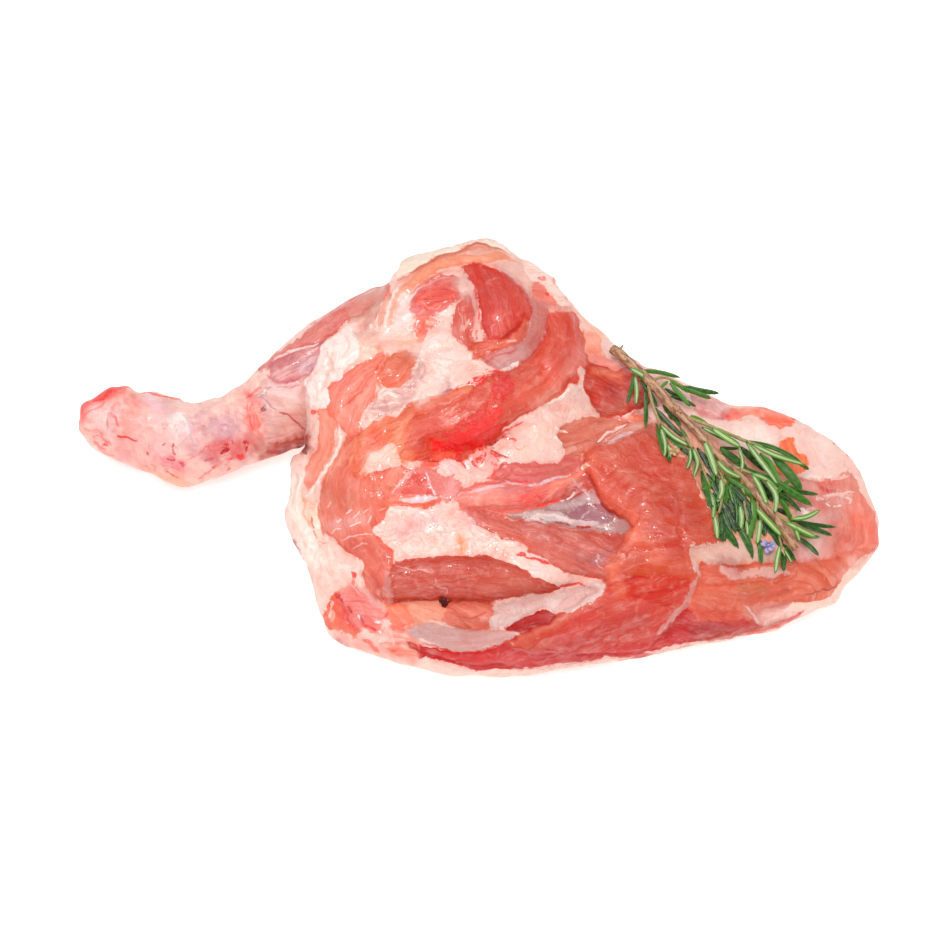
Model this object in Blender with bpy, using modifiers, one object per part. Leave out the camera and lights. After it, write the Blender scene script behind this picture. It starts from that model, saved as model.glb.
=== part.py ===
"""Raw lamb shoulder on the bone, lying inner side up with its shank to the left, and a sprig of rosemary on it.

Metres, +Z up, +X to the blade end, the table at z = 0 and the origin under the middle of the whole.
"""

import math

import bmesh
import bpy
import numpy as np
from mathutils import Matrix, Vector
from mathutils.bvhtree import BVHTree

MM = 0.001

# The shape is laid out as it is seen from a standpoint in front of it and above it. A place is
# (across, up, height): across and up in mm on the plane that the line of sight meets square on,
# and height in mm over the table.
SIGHT_TILT = math.radians(55)  # how far the line of sight looks down
SIGHT_REACH = 1600 * MM  # from the standpoint to the middle of that plane
SIGHT_MIDDLE = Vector((-0.96 * MM, -11.69 * MM, 30 * MM))

# The edge of the shoulder as it is seen, clockwise from the notch where the shank goes in.
EDGE = (
    (-82, 11, 40), (-82, 26, 52), (-84, 40, 58), (-77, 55, 63), (-75, 64, 66), (-64, 71, 70),
    (-54, 70, 70), (-49, 84, 69), (-38, 100, 68), (-35, 106, 66), (-16, 111, 66), (3, 117, 66),
    (17, 113, 63), (34, 102, 58), (44, 92, 54), (54, 79, 50), (64, 71, 45), (75, 62, 42),
    (94, 51, 38), (114, 42, 34), (128, 34, 30), (146, 33, 27), (164, 26, 24), (184, 13, 20),
    (195, -2, 17), (202, -21, 14), (202, -36, 12), (196, -48, 11), (187, -59, 10), (180, -67, 9),
    (164, -73, 8), (144, -81, 7), (114, -86, 6), (84, -93, 6), (54, -97, 6), (24, -102, 6),
    (-1, -102, 6), (-21, -99, 6), (-36, -96, 6), (-51, -91, 7), (-66, -86, 9), (-74, -78, 12),
    (-77, -66, 15), (-80, -54, 17), (-85, -41, 20), (-92, -30, 22), (-94, -19, 24), (-91, -9, 26),
    (-91, 6, 28),
)
EDGE_MIDDLE = (44, 0)  # the place from which the whole edge can be seen
SHOULDER_FULLNESS = 6  # how late the top turns down to the edge: more is squarer
UNDERCUT = 0.4  # how far the underside draws in below the edge, as a share of the edge's height
UNDERCUT_LEAST = 2 * MM
LINE_OF_SIGHT_BULGE = 0.5  # 0.5 leaves the edge along the line of sight on the far side
EDGE_BLUR = 9  # how far along the edge its notches are evened out on the underside, in mesh steps

# Heights of the cut side, away from its edge.
HEIGHTS = {
    "elbow crest": (-1, 104, 75),
    "elbow left": (-18, 89, 78),
    "elbow right": (14, 86, 80),
    "elbow foot": (-1, 62, 80),
    "hind slope": (44, 80, 66),
    "hind root": (62, 46, 58),
    "shank root": (-38, 70, 78),
    "neck strap": (-62, 40, 74),
    "neck corner": (-71, 14, 66),
    "breast": (-63, -6, 70),
    "breast low": (-60, -30, 64),
    "breast edge": (-80, -28, 46),
    "upper arm": (-24, 24, 80),
    "upper arm hind": (14, 36, 78),
    "armpit": (6, 4, 70),
    "armpit hind": (36, 18, 66),
    "joint": (-30, -30, 67),
    "joint low": (-10, -56, 60),
    "joint corner": (-50, -60, 54),
    "front corner": (-62, -76, 32),
    "front": (0, -84, 34),
    "blade root": (42, -26, 58),
    "blade front": (40, -60, 54),
    "blade hollow": (68, -22, 54),
    "blade ridge": (88, -20, 60),
    "blade ridge low": (72, -68, 42),
    "front edge": (70, -84, 27),
    "blade hind": (90, 30, 50),
    "blade middle": (126, -24, 50),
    "blade middle low": (118, -68, 38),
    "blade hind end": (150, 12, 38),
    "blade end": (168, -30, 42),
    "blade end low": (162, -57, 33),
    "blade tip": (190, -24, 26),
}

# Muscles that stand proud: across, up, half length, half width, turn in degrees, rise.
MUSCLES = {
    "round oval": (-18, 89, 15, 11, 25, 2.5),
    "dark round": (14, 85, 24, 16, -60, 4.5),
    "hind lobe": (47, 62, 27, 11, 100, 6),
    "upper arm belly": (4, 34, 46, 16, 25, 5),
    "small oval": (-39, 51, 12, 9, 55, 3.5),
    "neck strap": (-65, 34, 24, 11, 45, 4),
    "neck band": (-76, 8, 24, 6, 72, 3.5),
    "breast belly": (-64, -8, 34, 14, 80, 4),
    "breast tail": (-48, -52, 22, 9, 100, 3),
    "long belly": (-2, -54, 42, 10, 2, 6),
    "armpit strap": (26, -10, 36, 7, 8, 3.5),
    "blade belly": (44, -38, 34, 11, -14, 3.5),
    "hind root belly": (72, 42, 17, 13, -35, 4),
    "front roll": (-18, -71, 26, 6, 0, 4),
    "front band": (56, -78, 62, 9, 12, 4),
    "tip belly": (182, -30, 12, 26, 8, 2.5),
}

# The thick sheet of muscle that lies over the blade: its free edge, from hind to front.
SHEET_EDGE = (
    (82, 26), (62, 10), (55, 4), (60, -8), (67, -16), (76, -21), (79, -28), (73, -40),
    (66, -48), (65, -58), (56, -66), (40, -72), (28, -80), (8, -88), (-14, -90),
)
SHEET_THICKNESS = 5
SHEET_SLOPE = 6  # how far its free edge takes to rise

# Clefts between muscles: depth, half width, then the places along each.
CLEFTS = {
    "under the long belly": (4, 5, ((-42, -64), (-14, -65), (30, -64), (56, -57))),
    "round the hind lobe": (3.5, 5, ((38, 80), (34, 66), (24, 56), (2, 50))),
    "beside the dark round": (2.5, 4, ((0, 100), (0, 84), (2, 66))),
    "beside the breast": (3.5, 5, ((-66, 20), (-80, -8), (-76, -34), (-56, -48))),
    "under the armpit strap": (3, 5, ((-8, -22), (24, -21), (50, -14), (66, -2))),
    "armpit": (4.5, 7, ((-22, 12), (8, 10), (24, 22))),
}

# The shank: across, up, height of its axis, half thickness, from its cut end to the elbow.
SHANK = (
    (-193, 26, 17, 10), (-188, 25, 18, 15), (-176, 25, 19, 18.5), (-161, 20, 20, 20),
    (-142, 15, 21, 21), (-128, 17, 20, 19.5), (-115, 22, 21, 18.5), (-102, 31, 24, 19.5),
    (-86, 42, 28, 23.5), (-66, 55, 34, 26), (-44, 66, 41, 27), (-20, 74, 44, 26),
)

# Knobs of bone and gristle under the skin of the wrist: across, up, height, three half sizes.
KNOBS = {
    "wrist knuckle": (-144, 2, 15, 15, 10, 10),
    "wrist back": (-155, 34, 22, 12, 7, 10),
    "end lip": (-176, 38, 24, 10, 7, 9),
    "end heel": (-172, 12, 13, 12, 8, 9),
}

# The fat cover shows as a thin lip behind the elbow.
COVER_LIP = ((-38, 98, 60), (-30, 104, 60), (-14, 108, 61), (3, 112, 62), (16, 108, 59), (30, 100, 54))
COVER_LIP_THICKNESS = 3.4

# The sprig's woody stem: across, up, height, radius, from its cut end behind to its tip in front.
STEM = (
    (70, 62, 58.5, 2.5), (76, 57, 58, 2.6), (84, 50, 57.5, 2.3), (91, 43, 57, 2.6), (99, 34, 56.8, 2.5),
    (106, 27, 56.5, 2.2), (114, 19, 56, 2.1), (121, 10, 55.2, 1.9), (131, 1, 53.8, 1.8),
    (139, -7, 52.2, 1.8), (145, -15, 50.8, 1.9), (151, -23, 49, 1.9), (157, -31, 46.5, 2),
    (162, -38, 44, 2.1),
)
# Side shoots: across, up and rise over the stem's height, from the stem outwards.
SHOOTS = (
    ((86, 48, 0), (98, 46, 0.5), (106, 42, 0)),
    ((91, 43, 0), (93, 34, -1), (94, 26, -2), (96, 18, -2.5)),
    ((99, 34, 0), (104, 24, -1), (110, 13, -2), (114, -2, -2.5), (115, -12, -3)),
    ((112, 21, 0), (123, 17, 0), (136, 15, -1), (148, 11, -2)),
    ((120, 11, 0), (123, -3, 0), (124, -14, -1), (125, -23, -2), (124, -34, -3)),
    ((129, 3, 0), (133, -9, 1), (135, -17, 0), (136, -35, -2)),
    ((130, 2, 0), (141, -1, 1), (148, -4, 1), (158, -9, 0)),
    ((139, -7, 0), (142, -17, 1), (145, -28, 0), (144, -36, -1)),
    ((146, -16, 0), (154, -17, 1), (161, -24, 0), (165, -26, -1)),
)
SHOOT_RADIUS = 0.9

# Leaves, as seen: across and up of the foot, across and up of the tip.
LEAVES = (
    (80, 50, 77, 34), (81, 49, 82, 34), (80, 52, 89, 45), (84, 51, 103, 48), (84, 45, 93, 34),
    (86, 41, 86, 20), (99, 46, 108, 40), (98, 45, 109, 33), (96, 42, 111, 34), (106, 42, 123, 40),
    (106, 42, 119, 38), (92, 25, 96, 5), (94, 26, 97, 6), (91, 33, 105, 16), (94, 24, 108, 14),
    (97, 17, 109, 8), (97, 15, 98, 0), (95, 34, 99, 26), (101, 29, 104, 22), (105, 22, 110, 9),
    (109, 14, 107, -1), (111, 11, 110, -5), (115, 15, 122, -2), (122, 6, 134, -3), (121, -3, 115, -12),
    (125, -1, 123, -16), (114, -4, 118, -21), (116, -4, 120, -27), (127, -3, 144, -14),
    (131, -6, 137, -14), (133, -9, 131, -31), (134, -15, 134, -30), (140, -14, 136, -37),
    (141, -16, 155, -31), (145, -26, 143, -35), (144, -34, 144, -47), (136, -33, 140, -45),
    (124, -23, 122, -36), (124, -32, 125, -40), (128, -29, 133, -41), (128, -24, 136, -36),
    (155, -29, 152, -50), (155, -30, 161, -44), (159, -35, 158, -48), (115, 21, 131, 15),
    (120, 20, 134, 15), (134, 15, 124, 12), (133, 14, 135, 0), (134, 17, 164, 5), (145, 13, 168, 3),
    (136, 15, 153, -6), (145, 11, 156, -8), (148, 10, 165, -10), (134, 14, 149, -1), (140, -1, 148, -18),
    (146, -4, 151, -20), (148, -4, 170, -16), (156, -8, 173, -11), (151, -7, 164, -19),
    (154, -17, 160, -21), (160, -23, 174, -19), (161, -24, 182, -27), (164, -25, 180, -31),
    (156, -24, 174, -32), (162, -36, 174, -41), (156, -26, 164, -35),
)
LEAF_WIDTH = 2.4
LEAF_THICKNESS = 1.2
LEAF_DROP = 0.25  # how far a leaf's tip hangs below its foot, as a share of its length
LEAF_BOW = 0.08  # how far its middle stands above the straight line, as a share of its length
LEAF_SECTIONS = ((0, 0.6), (0.3, 1), (0.7, 0.9))  # share of the length, share of the width
SPRIG_CLEARANCE = 0.5  # between the sprig and the meat

BODY_SEGMENTS, BODY_RINGS = 192, 120
BELOW_TABLE = 1.5 * MM  # how deep the underside goes before it is cut flat
VOXEL = 2.4 * MM
SMOOTHING_PASSES = 5
SHOULDER_TRIANGLES = 9100


# ---------------------------------------------------------------- places

def sight_axes():
    """The plane's across, up and towards-the-eye directions."""
    across = Vector((1, 0, 0))
    up = Vector((0, math.sin(SIGHT_TILT), math.cos(SIGHT_TILT)))
    return across, up, across.cross(up)


def place(across, up, height):
    """The points at these heights that are seen at (across, up), all in mm, as rows in metres."""
    side, rise, towards = (np.array(axis) for axis in sight_axes())
    eye = np.array(SIGHT_MIDDLE) + SIGHT_REACH * towards
    on_plane = (
        np.array(SIGHT_MIDDLE)
        + np.multiply.outer(np.asarray(across, float) * MM, side)
        + np.multiply.outer(np.asarray(up, float) * MM, rise)
    )
    ray = on_plane - eye
    reach = (np.asarray(height, float) * MM - eye[2]) / ray[..., 2]
    return eye + ray * reach[..., None]


def smooth_loop(points, fractions):
    """Points at these fractions round a closed smooth curve through the given points."""
    points = np.asarray(points, float)
    count = len(points)
    position = (fractions % 1.0) * count
    first = np.floor(position).astype(int)
    t = (position - first)[:, None]
    before, start, end, after = (points[(first + k) % count] for k in (-1, 0, 1, 2))
    return 0.5 * (
        2 * start
        + (end - before) * t
        + (2 * before - 5 * start + 4 * end - after) * t**2
        + (3 * start - before - 3 * end + after) * t**3
    )


def from_line(across, up, line):
    """Distance to a line of places, and the side of it: positive to the left of its direction."""
    best = np.full(np.shape(across), np.inf)
    side = np.zeros(np.shape(across))
    for (x0, y0), (x1, y1) in zip(line, line[1:]):
        dx, dy = x1 - x0, y1 - y0
        t = np.clip(((across - x0) * dx + (up - y0) * dy) / (dx * dx + dy * dy), 0, 1)
        gap = np.hypot(across - x0 - t * dx, up - y0 - t * dy)
        nearer = gap < best
        turn = dx * (up - y0) - dy * (across - x0)
        side = np.where(nearer, np.sign(turn), side)
        best = np.minimum(best, gap)
    return best, side


# ---------------------------------------------------------------- the cut side's height

def spline_kernel(gap):
    """Thin plate spline kernel."""
    return np.where(gap > 0, gap**2 * np.log(np.maximum(gap, 1e-9)), 0)


class HeightMap:
    """A thin plate spline through the named heights and the edge."""

    def __init__(self):
        known = np.array(list(HEIGHTS.values()) + [(a, u, h + 16) for a, u, h in EDGE[::2]], float)
        self.sites = known[:, :2]
        gap = np.hypot(*(self.sites[:, None] - self.sites[None]).transpose(2, 0, 1))
        flat = np.column_stack([np.ones(len(known)), self.sites])
        system = np.block([[spline_kernel(gap), flat], [flat.T, np.zeros((3, 3))]])
        self.weights = np.linalg.solve(system, np.concatenate([known[:, 2], np.zeros(3)]))

    def at(self, across, up):
        gap = np.hypot(across[:, None] - self.sites[:, 0], up[:, None] - self.sites[:, 1])
        flat = np.column_stack([np.ones(len(across)), across, up])
        return spline_kernel(gap) @ self.weights[:-3] + flat @ self.weights[-3:]


def muscle_rise(across, up):
    """How far the muscles, the sheet and the clefts move the cut side, in mm."""
    rise = np.zeros(np.shape(across))
    for x, y, half_length, half_width, turn, height in MUSCLES.values():
        c, s = math.cos(math.radians(turn)), math.sin(math.radians(turn))
        along = ((across - x) * c + (up - y) * s) / half_length
        over = ((up - y) * c - (across - x) * s) / half_width
        rise += height * np.sqrt(np.clip(1.25 - along**2 - over**2, 0, 1))
    gap, side = from_line(across, up, SHEET_EDGE)
    step = np.clip(0.5 + gap * side / SHEET_SLOPE, 0, 1)
    fade = np.clip((175 - across) / 60, 0, 1) * np.clip((across + 25) / 30, 0, 1)
    rise += SHEET_THICKNESS * step * step * (3 - 2 * step) * fade
    for depth, half_width, line in CLEFTS.values():
        gap, _ = from_line(across, up, line)
        rise -= depth * np.exp(-((gap / half_width) ** 2))
    return rise


# ---------------------------------------------------------------- shapes

def shoulder_body():
    """The shoulder without its shank: a sphere whose upper half becomes the cut side and whose lower
    half becomes the skin side, drawn in below the edge and flat on the table."""
    body = bmesh.new()
    bmesh.ops.create_uvsphere(body, u_segments=BODY_SEGMENTS, v_segments=BODY_RINGS, radius=1)
    body.verts.ensure_lookup_table()
    unit = np.array([v.co for v in body.verts])
    fractions = -np.arctan2(unit[:, 1], unit[:, 0]) / (2 * math.pi)
    polar = np.arctan2(np.hypot(unit[:, 0], unit[:, 1]), unit[:, 2])
    edge = smooth_loop(EDGE, fractions + 0.5)
    rim = place(edge[:, 0], edge[:, 1], edge[:, 2])

    spread = np.clip(np.sin(polar), 0, 1)
    across = EDGE_MIDDLE[0] + spread * (edge[:, 0] - EDGE_MIDDLE[0])
    up = EDGE_MIDDLE[1] + spread * (edge[:, 1] - EDGE_MIDDLE[1])
    full = np.sqrt(np.clip(1 - spread**SHOULDER_FULLNESS, 0, 1))
    level = HeightMap().at(across, up) + muscle_rise(across, up)
    cut_side = place(across, up, edge[:, 2] + (level - edge[:, 2]) * full)

    under = polar / (math.pi / 2) - 1
    fall = np.clip(under * 2, 0, 1) * math.pi / 2
    even = sum(
        (smooth_loop(EDGE, fractions + 0.5 + step / BODY_SEGMENTS) for step in range(-EDGE_BLUR, EDGE_BLUR + 1)),
        np.zeros_like(edge),
    ) / (2 * EDGE_BLUR + 1)
    evened = np.sin(fall)[:, None]
    lower = rim * (1 - evened) + place(even[:, 0], even[:, 1], even[:, 2]) * evened
    middle = place(EDGE_MIDDLE[0], EDGE_MIDDLE[1], 0)
    outward = lower[:, :2] - middle[:2]
    radius = np.hypot(outward[:, 0], outward[:, 1])
    outward /= radius[:, None]
    height = lower[:, 2] / math.tan(SIGHT_TILT)
    bulge = LINE_OF_SIGHT_BULGE * height * outward[:, 1] * np.sin(2 * fall)
    draw_in = (UNDERCUT * lower[:, 2] + UNDERCUT_LEAST) * (1 - np.cos(fall))
    reach = (radius - draw_in + bulge) * np.where(under > 0.5, 2 * (1 - under), 1)
    skin_side = np.column_stack([
        middle[0] + outward[:, 0] * reach,
        middle[1] + outward[:, 1] * reach,
        lower[:, 2] * (1 - np.sin(fall)) - BELOW_TABLE * np.clip(under * 2 - 0.8, 0, 1),
    ])
    for vertex, point in zip(body.verts, np.where((polar <= math.pi / 2 + 1e-6)[:, None], cut_side, skin_side)):
        vertex.co = point
    return body


def tube(name, points, radii, sides=12, steps=6):
    """A round bar of changing thickness along a smooth curve, as a closed bmesh."""
    curve = bpy.data.curves.new(name, "CURVE")
    curve.dimensions = "3D"
    curve.bevel_depth = 1
    curve.bevel_resolution = sides // 2 - 2
    curve.resolution_u = steps
    curve.use_fill_caps = True
    spline = curve.splines.new("BEZIER")
    spline.bezier_points.add(len(points) - 1)
    for knot, point, radius in zip(spline.bezier_points, points, radii):
        knot.co = point
        knot.radius = radius
        knot.handle_left_type = knot.handle_right_type = "AUTO"
    guide = bpy.data.objects.new(name, curve)
    bpy.context.scene.collection.objects.link(guide)
    bpy.context.view_layer.update()
    mesh = bpy.data.meshes.new_from_object(guide.evaluated_get(bpy.context.evaluated_depsgraph_get()))
    bar = bmesh.new()
    bar.from_mesh(mesh)
    bmesh.ops.remove_doubles(bar, verts=bar.verts, dist=0.01 * MM)
    bpy.data.objects.remove(guide)
    bpy.data.meshes.remove(mesh)
    return bar


def shank():
    """The fore shank, from the cut end at the wrist to the elbow."""
    rows = np.array(SHANK, float)
    return tube("shank_line", place(*rows[:, :3].T), rows[:, 3] * MM)


def knob(across, up, height, half_x, half_y, half_z):
    """A rounded lump."""
    lump = bmesh.new()
    size = Matrix.Diagonal((half_x * MM, half_y * MM, half_z * MM, 1))
    where = Matrix.Translation(Vector(place(across, up, height)))
    bmesh.ops.create_icosphere(lump, subdivisions=3, radius=1, matrix=where @ size)
    return lump


def cover_lip():
    """The torn edge of the fat cover that stands up behind the elbow."""
    rows = np.array(COVER_LIP, float)
    return tube("cover_lip_line", place(*rows.T), [COVER_LIP_THICKNESS * MM] * len(rows))


def joined(shapes, name):
    """One mesh object that holds all of these bmeshes."""
    whole = bmesh.new()
    for shape in shapes:
        mesh = bpy.data.meshes.new(name)
        shape.to_mesh(mesh)
        whole.from_mesh(mesh)
        shape.free()
        bpy.data.meshes.remove(mesh)
    mesh = bpy.data.meshes.new(name)
    whole.to_mesh(mesh)
    whole.free()
    made = bpy.data.objects.new(name, mesh)
    return made


class Ground:
    """The top of the shoulder, for what lies on it."""

    def __init__(self, shoulder):
        bpy.context.view_layer.update()
        self.tree = BVHTree.FromObject(shoulder, bpy.context.evaluated_depsgraph_get())

    def height(self, x, y, spread=3 * MM):
        """The highest point of the shoulder within the spread of (x, y), or 0 beside it."""
        highest = 0
        for dx in (-spread, 0, spread):
            for dy in (-spread, 0, spread):
                hit = self.tree.ray_cast(Vector((x + dx, y + dy, 1)), Vector((0, 0, -1)))[0]
                if hit is not None:
                    highest = max(highest, hit.z)
        return highest

    def resting(self, across, up, height, lift):
        """The point seen at (across, up) that is at this height or, where that is lower, this lift
        over the shoulder."""
        level = height
        for _ in range(12):
            point = Vector(place(across, up, level))
            level = max(height, self.height(point.x, point.y) / MM + lift)
        return Vector(place(across, up, level))

    def clear(self, point, radius):
        """The point, raised where something of this radius in mm would be too near the shoulder."""
        lowest = self.height(point[0], point[1]) + (radius + SPRIG_CLEARANCE) * MM
        return Vector((point[0], point[1], max(point[2], lowest)))


def stem_height(across, up):
    """The stem's height abreast of a place, in mm."""
    rows = np.array(STEM, float)
    along = (rows[:, 0] - rows[:, 1])
    return float(np.interp(across - up, along, rows[:, 2]))


def shoot_points(shoot):
    """A side shoot's points in space."""
    return [Vector(place(across, up, stem_height(across, up) + rise)) for across, up, rise in shoot]


def nearest_wood(across, up):
    """Where on the stem or on a side shoot a leaf with this foot grows: a point in space."""
    lines = [[row[:3] for row in STEM]]
    lines += [[(a, u, stem_height(a, u) + rise) for a, u, rise in shoot] for shoot in SHOOTS]
    best, found = math.inf, None
    for line in lines:
        for start, end in zip(line, line[1:]):
            for share in np.linspace(0, 1, 9):
                spot = np.array(start) * (1 - share) + np.array(end) * share
                gap = math.hypot(spot[0] - across, spot[1] - up)
                if gap < best:
                    best, found = gap, spot
    return Vector(place(*found))


def leaf(ground, foot_across, foot_up, tip_across, tip_up):
    """One needle-shaped leaf, from inside the wood to its blunt point."""
    foot = nearest_wood(foot_across, foot_up)
    length = math.hypot(tip_across - foot_across, tip_up - foot_up)
    tip = ground.resting(tip_across, tip_up, foot.z / MM - LEAF_DROP * length, LEAF_THICKNESS)
    along = tip - foot
    sideways = along.cross(Vector((0, 0, 1))).normalized()
    over = sideways.cross(along).normalized()
    shape = bmesh.new()
    rings = []
    for share, width in LEAF_SECTIONS:
        centre = foot + along * share + over * (4 * share * (1 - share) * LEAF_BOW * along.length)
        centre = ground.clear(centre, LEAF_THICKNESS / 2)
        half = LEAF_WIDTH / 2 * width * MM
        thick = LEAF_THICKNESS / 2 * width * MM
        rings.append([
            shape.verts.new(centre + offset)
            for offset in (sideways * half, over * thick, -sideways * half, -over * thick)
        ])
    point = shape.verts.new(tip)
    shape.faces.new(rings[0])
    for lower, upper in zip(rings, rings[1:]):
        for k in range(4):
            shape.faces.new((lower[k - 1], upper[k - 1], upper[k], lower[k]))
    for k in range(4):
        shape.faces.new((rings[-1][k - 1], point, rings[-1][k]))
    bmesh.ops.recalc_face_normals(shape, faces=shape.faces)
    bmesh.ops.triangulate(shape, faces=shape.faces)
    return shape


def biggest_island(shape):
    """Removes everything that is not joined to the biggest shell."""
    left, islands = set(shape.verts), []
    while left:
        found, edge = set(), [left.pop()]
        while edge:
            vertex = edge.pop()
            found.add(vertex)
            for link in vertex.link_edges:
                other = link.other_vert(vertex)
                if other in left:
                    left.remove(other)
                    edge.append(other)
        islands.append(found)
    islands.sort(key=len)
    loose = [vertex for island in islands[:-1] for vertex in island]
    bmesh.ops.delete(shape, geom=loose, context="VERTS")


def fused(name, pieces, parts):
    """One object of all these shapes, fused into one solid."""
    whole = joined(pieces[:1], name)
    parts.objects.link(whole)
    rest = collection("pieces of " + name)
    for piece in pieces[1:]:
        rest.objects.link(joined([piece], "piece"))
    union = whole.modifiers.new("fused", "BOOLEAN")
    union.operation = "UNION"
    union.operand_type = "COLLECTION"
    union.collection = rest
    union.solver = "MANIFOLD"
    bpy.context.view_layer.update()
    mesh = bpy.data.meshes.new_from_object(whole.evaluated_get(bpy.context.evaluated_depsgraph_get()))
    whole.modifiers.clear()
    whole.data = mesh
    for piece in list(rest.objects):
        bpy.data.objects.remove(piece)
    bpy.data.collections.remove(rest)
    shape = bmesh.new()
    shape.from_mesh(mesh)
    biggest_island(shape)
    shape.to_mesh(mesh)
    shape.free()
    return whole


def rosemary_sprig(parts, shoulder):
    """The stem, its side shoots and its leaves, fused, lying a hair over the meat."""
    ground = Ground(shoulder)
    points = [ground.clear(place(*row[:3]), row[3]) for row in STEM]
    pieces = [tube("stem_line", points, [row[3] * MM for row in STEM], 10, 2)]
    for shoot in SHOOTS:
        points = [ground.clear(point, SHOOT_RADIUS) for point in shoot_points(shoot)]
        pieces.append(tube("shoot_line", points, [SHOOT_RADIUS * MM] * len(points), 6, 2))
    pieces += [leaf(ground, *row) for row in LEAVES]
    sprig = fused("rosemary_sprig", pieces, parts)
    sprig.data.materials.clear()
    sprig.data.materials.append(material("rosemary", (0.06, 0.2, 0.03), 0.45))
    return sprig


def triangle_count(thing):
    """Triangles of the object as its modifiers leave it."""
    bpy.context.view_layer.update()
    mesh = thing.evaluated_get(bpy.context.evaluated_depsgraph_get()).to_mesh()
    mesh.calc_loop_triangles()
    return len(mesh.loop_triangles)


def table_cutter(collection):
    """A block below the table, which cuts the underside flat."""
    slab = bmesh.new()
    size = Matrix.Diagonal((600 * MM, 500 * MM, 40 * MM, 1))
    bmesh.ops.create_cube(slab, size=1, matrix=Matrix.Translation((0, 0, -20 * MM)) @ size)
    mesh = bpy.data.meshes.new("table_cutter")
    slab.to_mesh(mesh)
    slab.free()
    cutter = bpy.data.objects.new("table_cutter", mesh)
    cutter.hide_render = True
    cutter.display_type = "WIRE"
    collection.objects.link(cutter)
    return cutter


def lamb_shoulder(parts, cutters):
    """Body, shank, knobs and fat lip grown together into one solid."""
    shapes = [shoulder_body(), shank(), cover_lip()] + [knob(*size) for size in KNOBS.values()]
    shoulder = joined(shapes, "lamb_shoulder")
    parts.objects.link(shoulder)
    grown = shoulder.modifiers.new("grown together", "REMESH")
    grown.mode = "VOXEL"
    grown.voxel_size = VOXEL
    grown.use_smooth_shade = True
    soft = shoulder.modifiers.new("softened", "SMOOTH")
    soft.factor = 0.5
    soft.iterations = SMOOTHING_PASSES
    light = shoulder.modifiers.new("lightened", "DECIMATE")
    light.ratio = 1
    light.ratio = SHOULDER_TRIANGLES / triangle_count(shoulder)
    rest = shoulder.modifiers.new("flat underneath", "BOOLEAN")
    rest.operation = "DIFFERENCE"
    rest.solver = "EXACT"
    rest.object = table_cutter(cutters)
    shoulder.data.materials.append(material("lamb", (0.72, 0.18, 0.12), 0.35))
    return shoulder


def material(name, colour, roughness):
    """A plain surface of one colour."""
    made = bpy.data.materials.new(name)
    made.use_nodes = True
    surface = made.node_tree.nodes["Principled BSDF"]
    surface.inputs["Base Color"].default_value = (*colour, 1)
    surface.inputs["Roughness"].default_value = roughness
    surface.inputs["Metallic"].default_value = 0
    return made


def collection(name):
    made = bpy.data.collections.new(name)
    bpy.context.scene.collection.children.link(made)
    return made


def main():
    for thing in list(bpy.data.objects):
        bpy.data.objects.remove(thing)
    parts = collection("raw lamb shoulder")
    cutters = collection("cutters")
    rosemary_sprig(parts, lamb_shoulder(parts, cutters))


main()
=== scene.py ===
"""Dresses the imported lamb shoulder: muscle, fat, silver skin and blood, and a rosemary sprig over it."""

import itertools
import math
import random

import bmesh
import bpy
import numpy as np
from mathutils import Matrix, Vector
from mathutils.bvhtree import BVHTree


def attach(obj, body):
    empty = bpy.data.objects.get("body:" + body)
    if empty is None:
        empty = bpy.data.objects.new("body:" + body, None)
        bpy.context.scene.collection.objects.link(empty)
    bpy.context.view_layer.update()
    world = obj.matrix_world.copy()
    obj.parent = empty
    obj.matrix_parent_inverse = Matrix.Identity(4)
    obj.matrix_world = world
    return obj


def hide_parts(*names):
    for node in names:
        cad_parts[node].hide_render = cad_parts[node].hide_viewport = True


bl_info = {
    "name": "Raw Lamb Shoulder",
    "version": (1, 0, 0),
    "blender": (4, 5, 0),
    "location": "3D View > Sidebar > Lamb",
    "description": "Makes a raw lamb shoulder with a rosemary sprig, and a studio for it",
    "category": "Object",
}

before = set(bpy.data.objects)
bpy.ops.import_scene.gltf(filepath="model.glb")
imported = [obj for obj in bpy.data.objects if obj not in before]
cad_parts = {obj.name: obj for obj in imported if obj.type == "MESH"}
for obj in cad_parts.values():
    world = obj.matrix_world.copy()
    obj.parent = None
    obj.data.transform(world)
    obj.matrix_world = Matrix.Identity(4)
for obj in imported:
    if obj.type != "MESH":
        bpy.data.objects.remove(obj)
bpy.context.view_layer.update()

MM = 0.001

# Places on the meat are given as they are seen from a standpoint in front of it and above it: across
# and down in steps of half a millimetre on a plane square to the line of sight, from its upper left.
# A row of numbers holds its points one after the other: across, down, across, down.
SIGHT_TILT = math.radians(55)
SIGHT_REACH = 1600 * MM
SIGHT_MIDDLE = Vector((-0.96, -11.69, 30)) * MM
SIGHT_STEP = 0.5 * MM
SIGHT_CENTRE = 472.5
STEP_MM = SIGHT_STEP / MM


# ---------------------------------------------------------------- what the meat is made of

class Tissue:
    """How one kind of tissue stands out and takes the light: heights are in millimetres."""

    def __init__(self, step=0.0, dome=0.0, groove=0.0, lumps=0.0, fibre=0.0, gloss=0.5, rag=0.3, soft=0.35):
        self.step = step  # how far its edge stands over what it lies on
        self.dome = dome  # how far its middle swells over its edge
        self.groove = groove  # how deep the line round it is
        self.lumps = lumps
        self.fibre = fibre
        self.gloss = gloss
        self.rag = rag  # how ragged its edge is
        self.soft = soft  # how wide its edge fades


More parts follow.
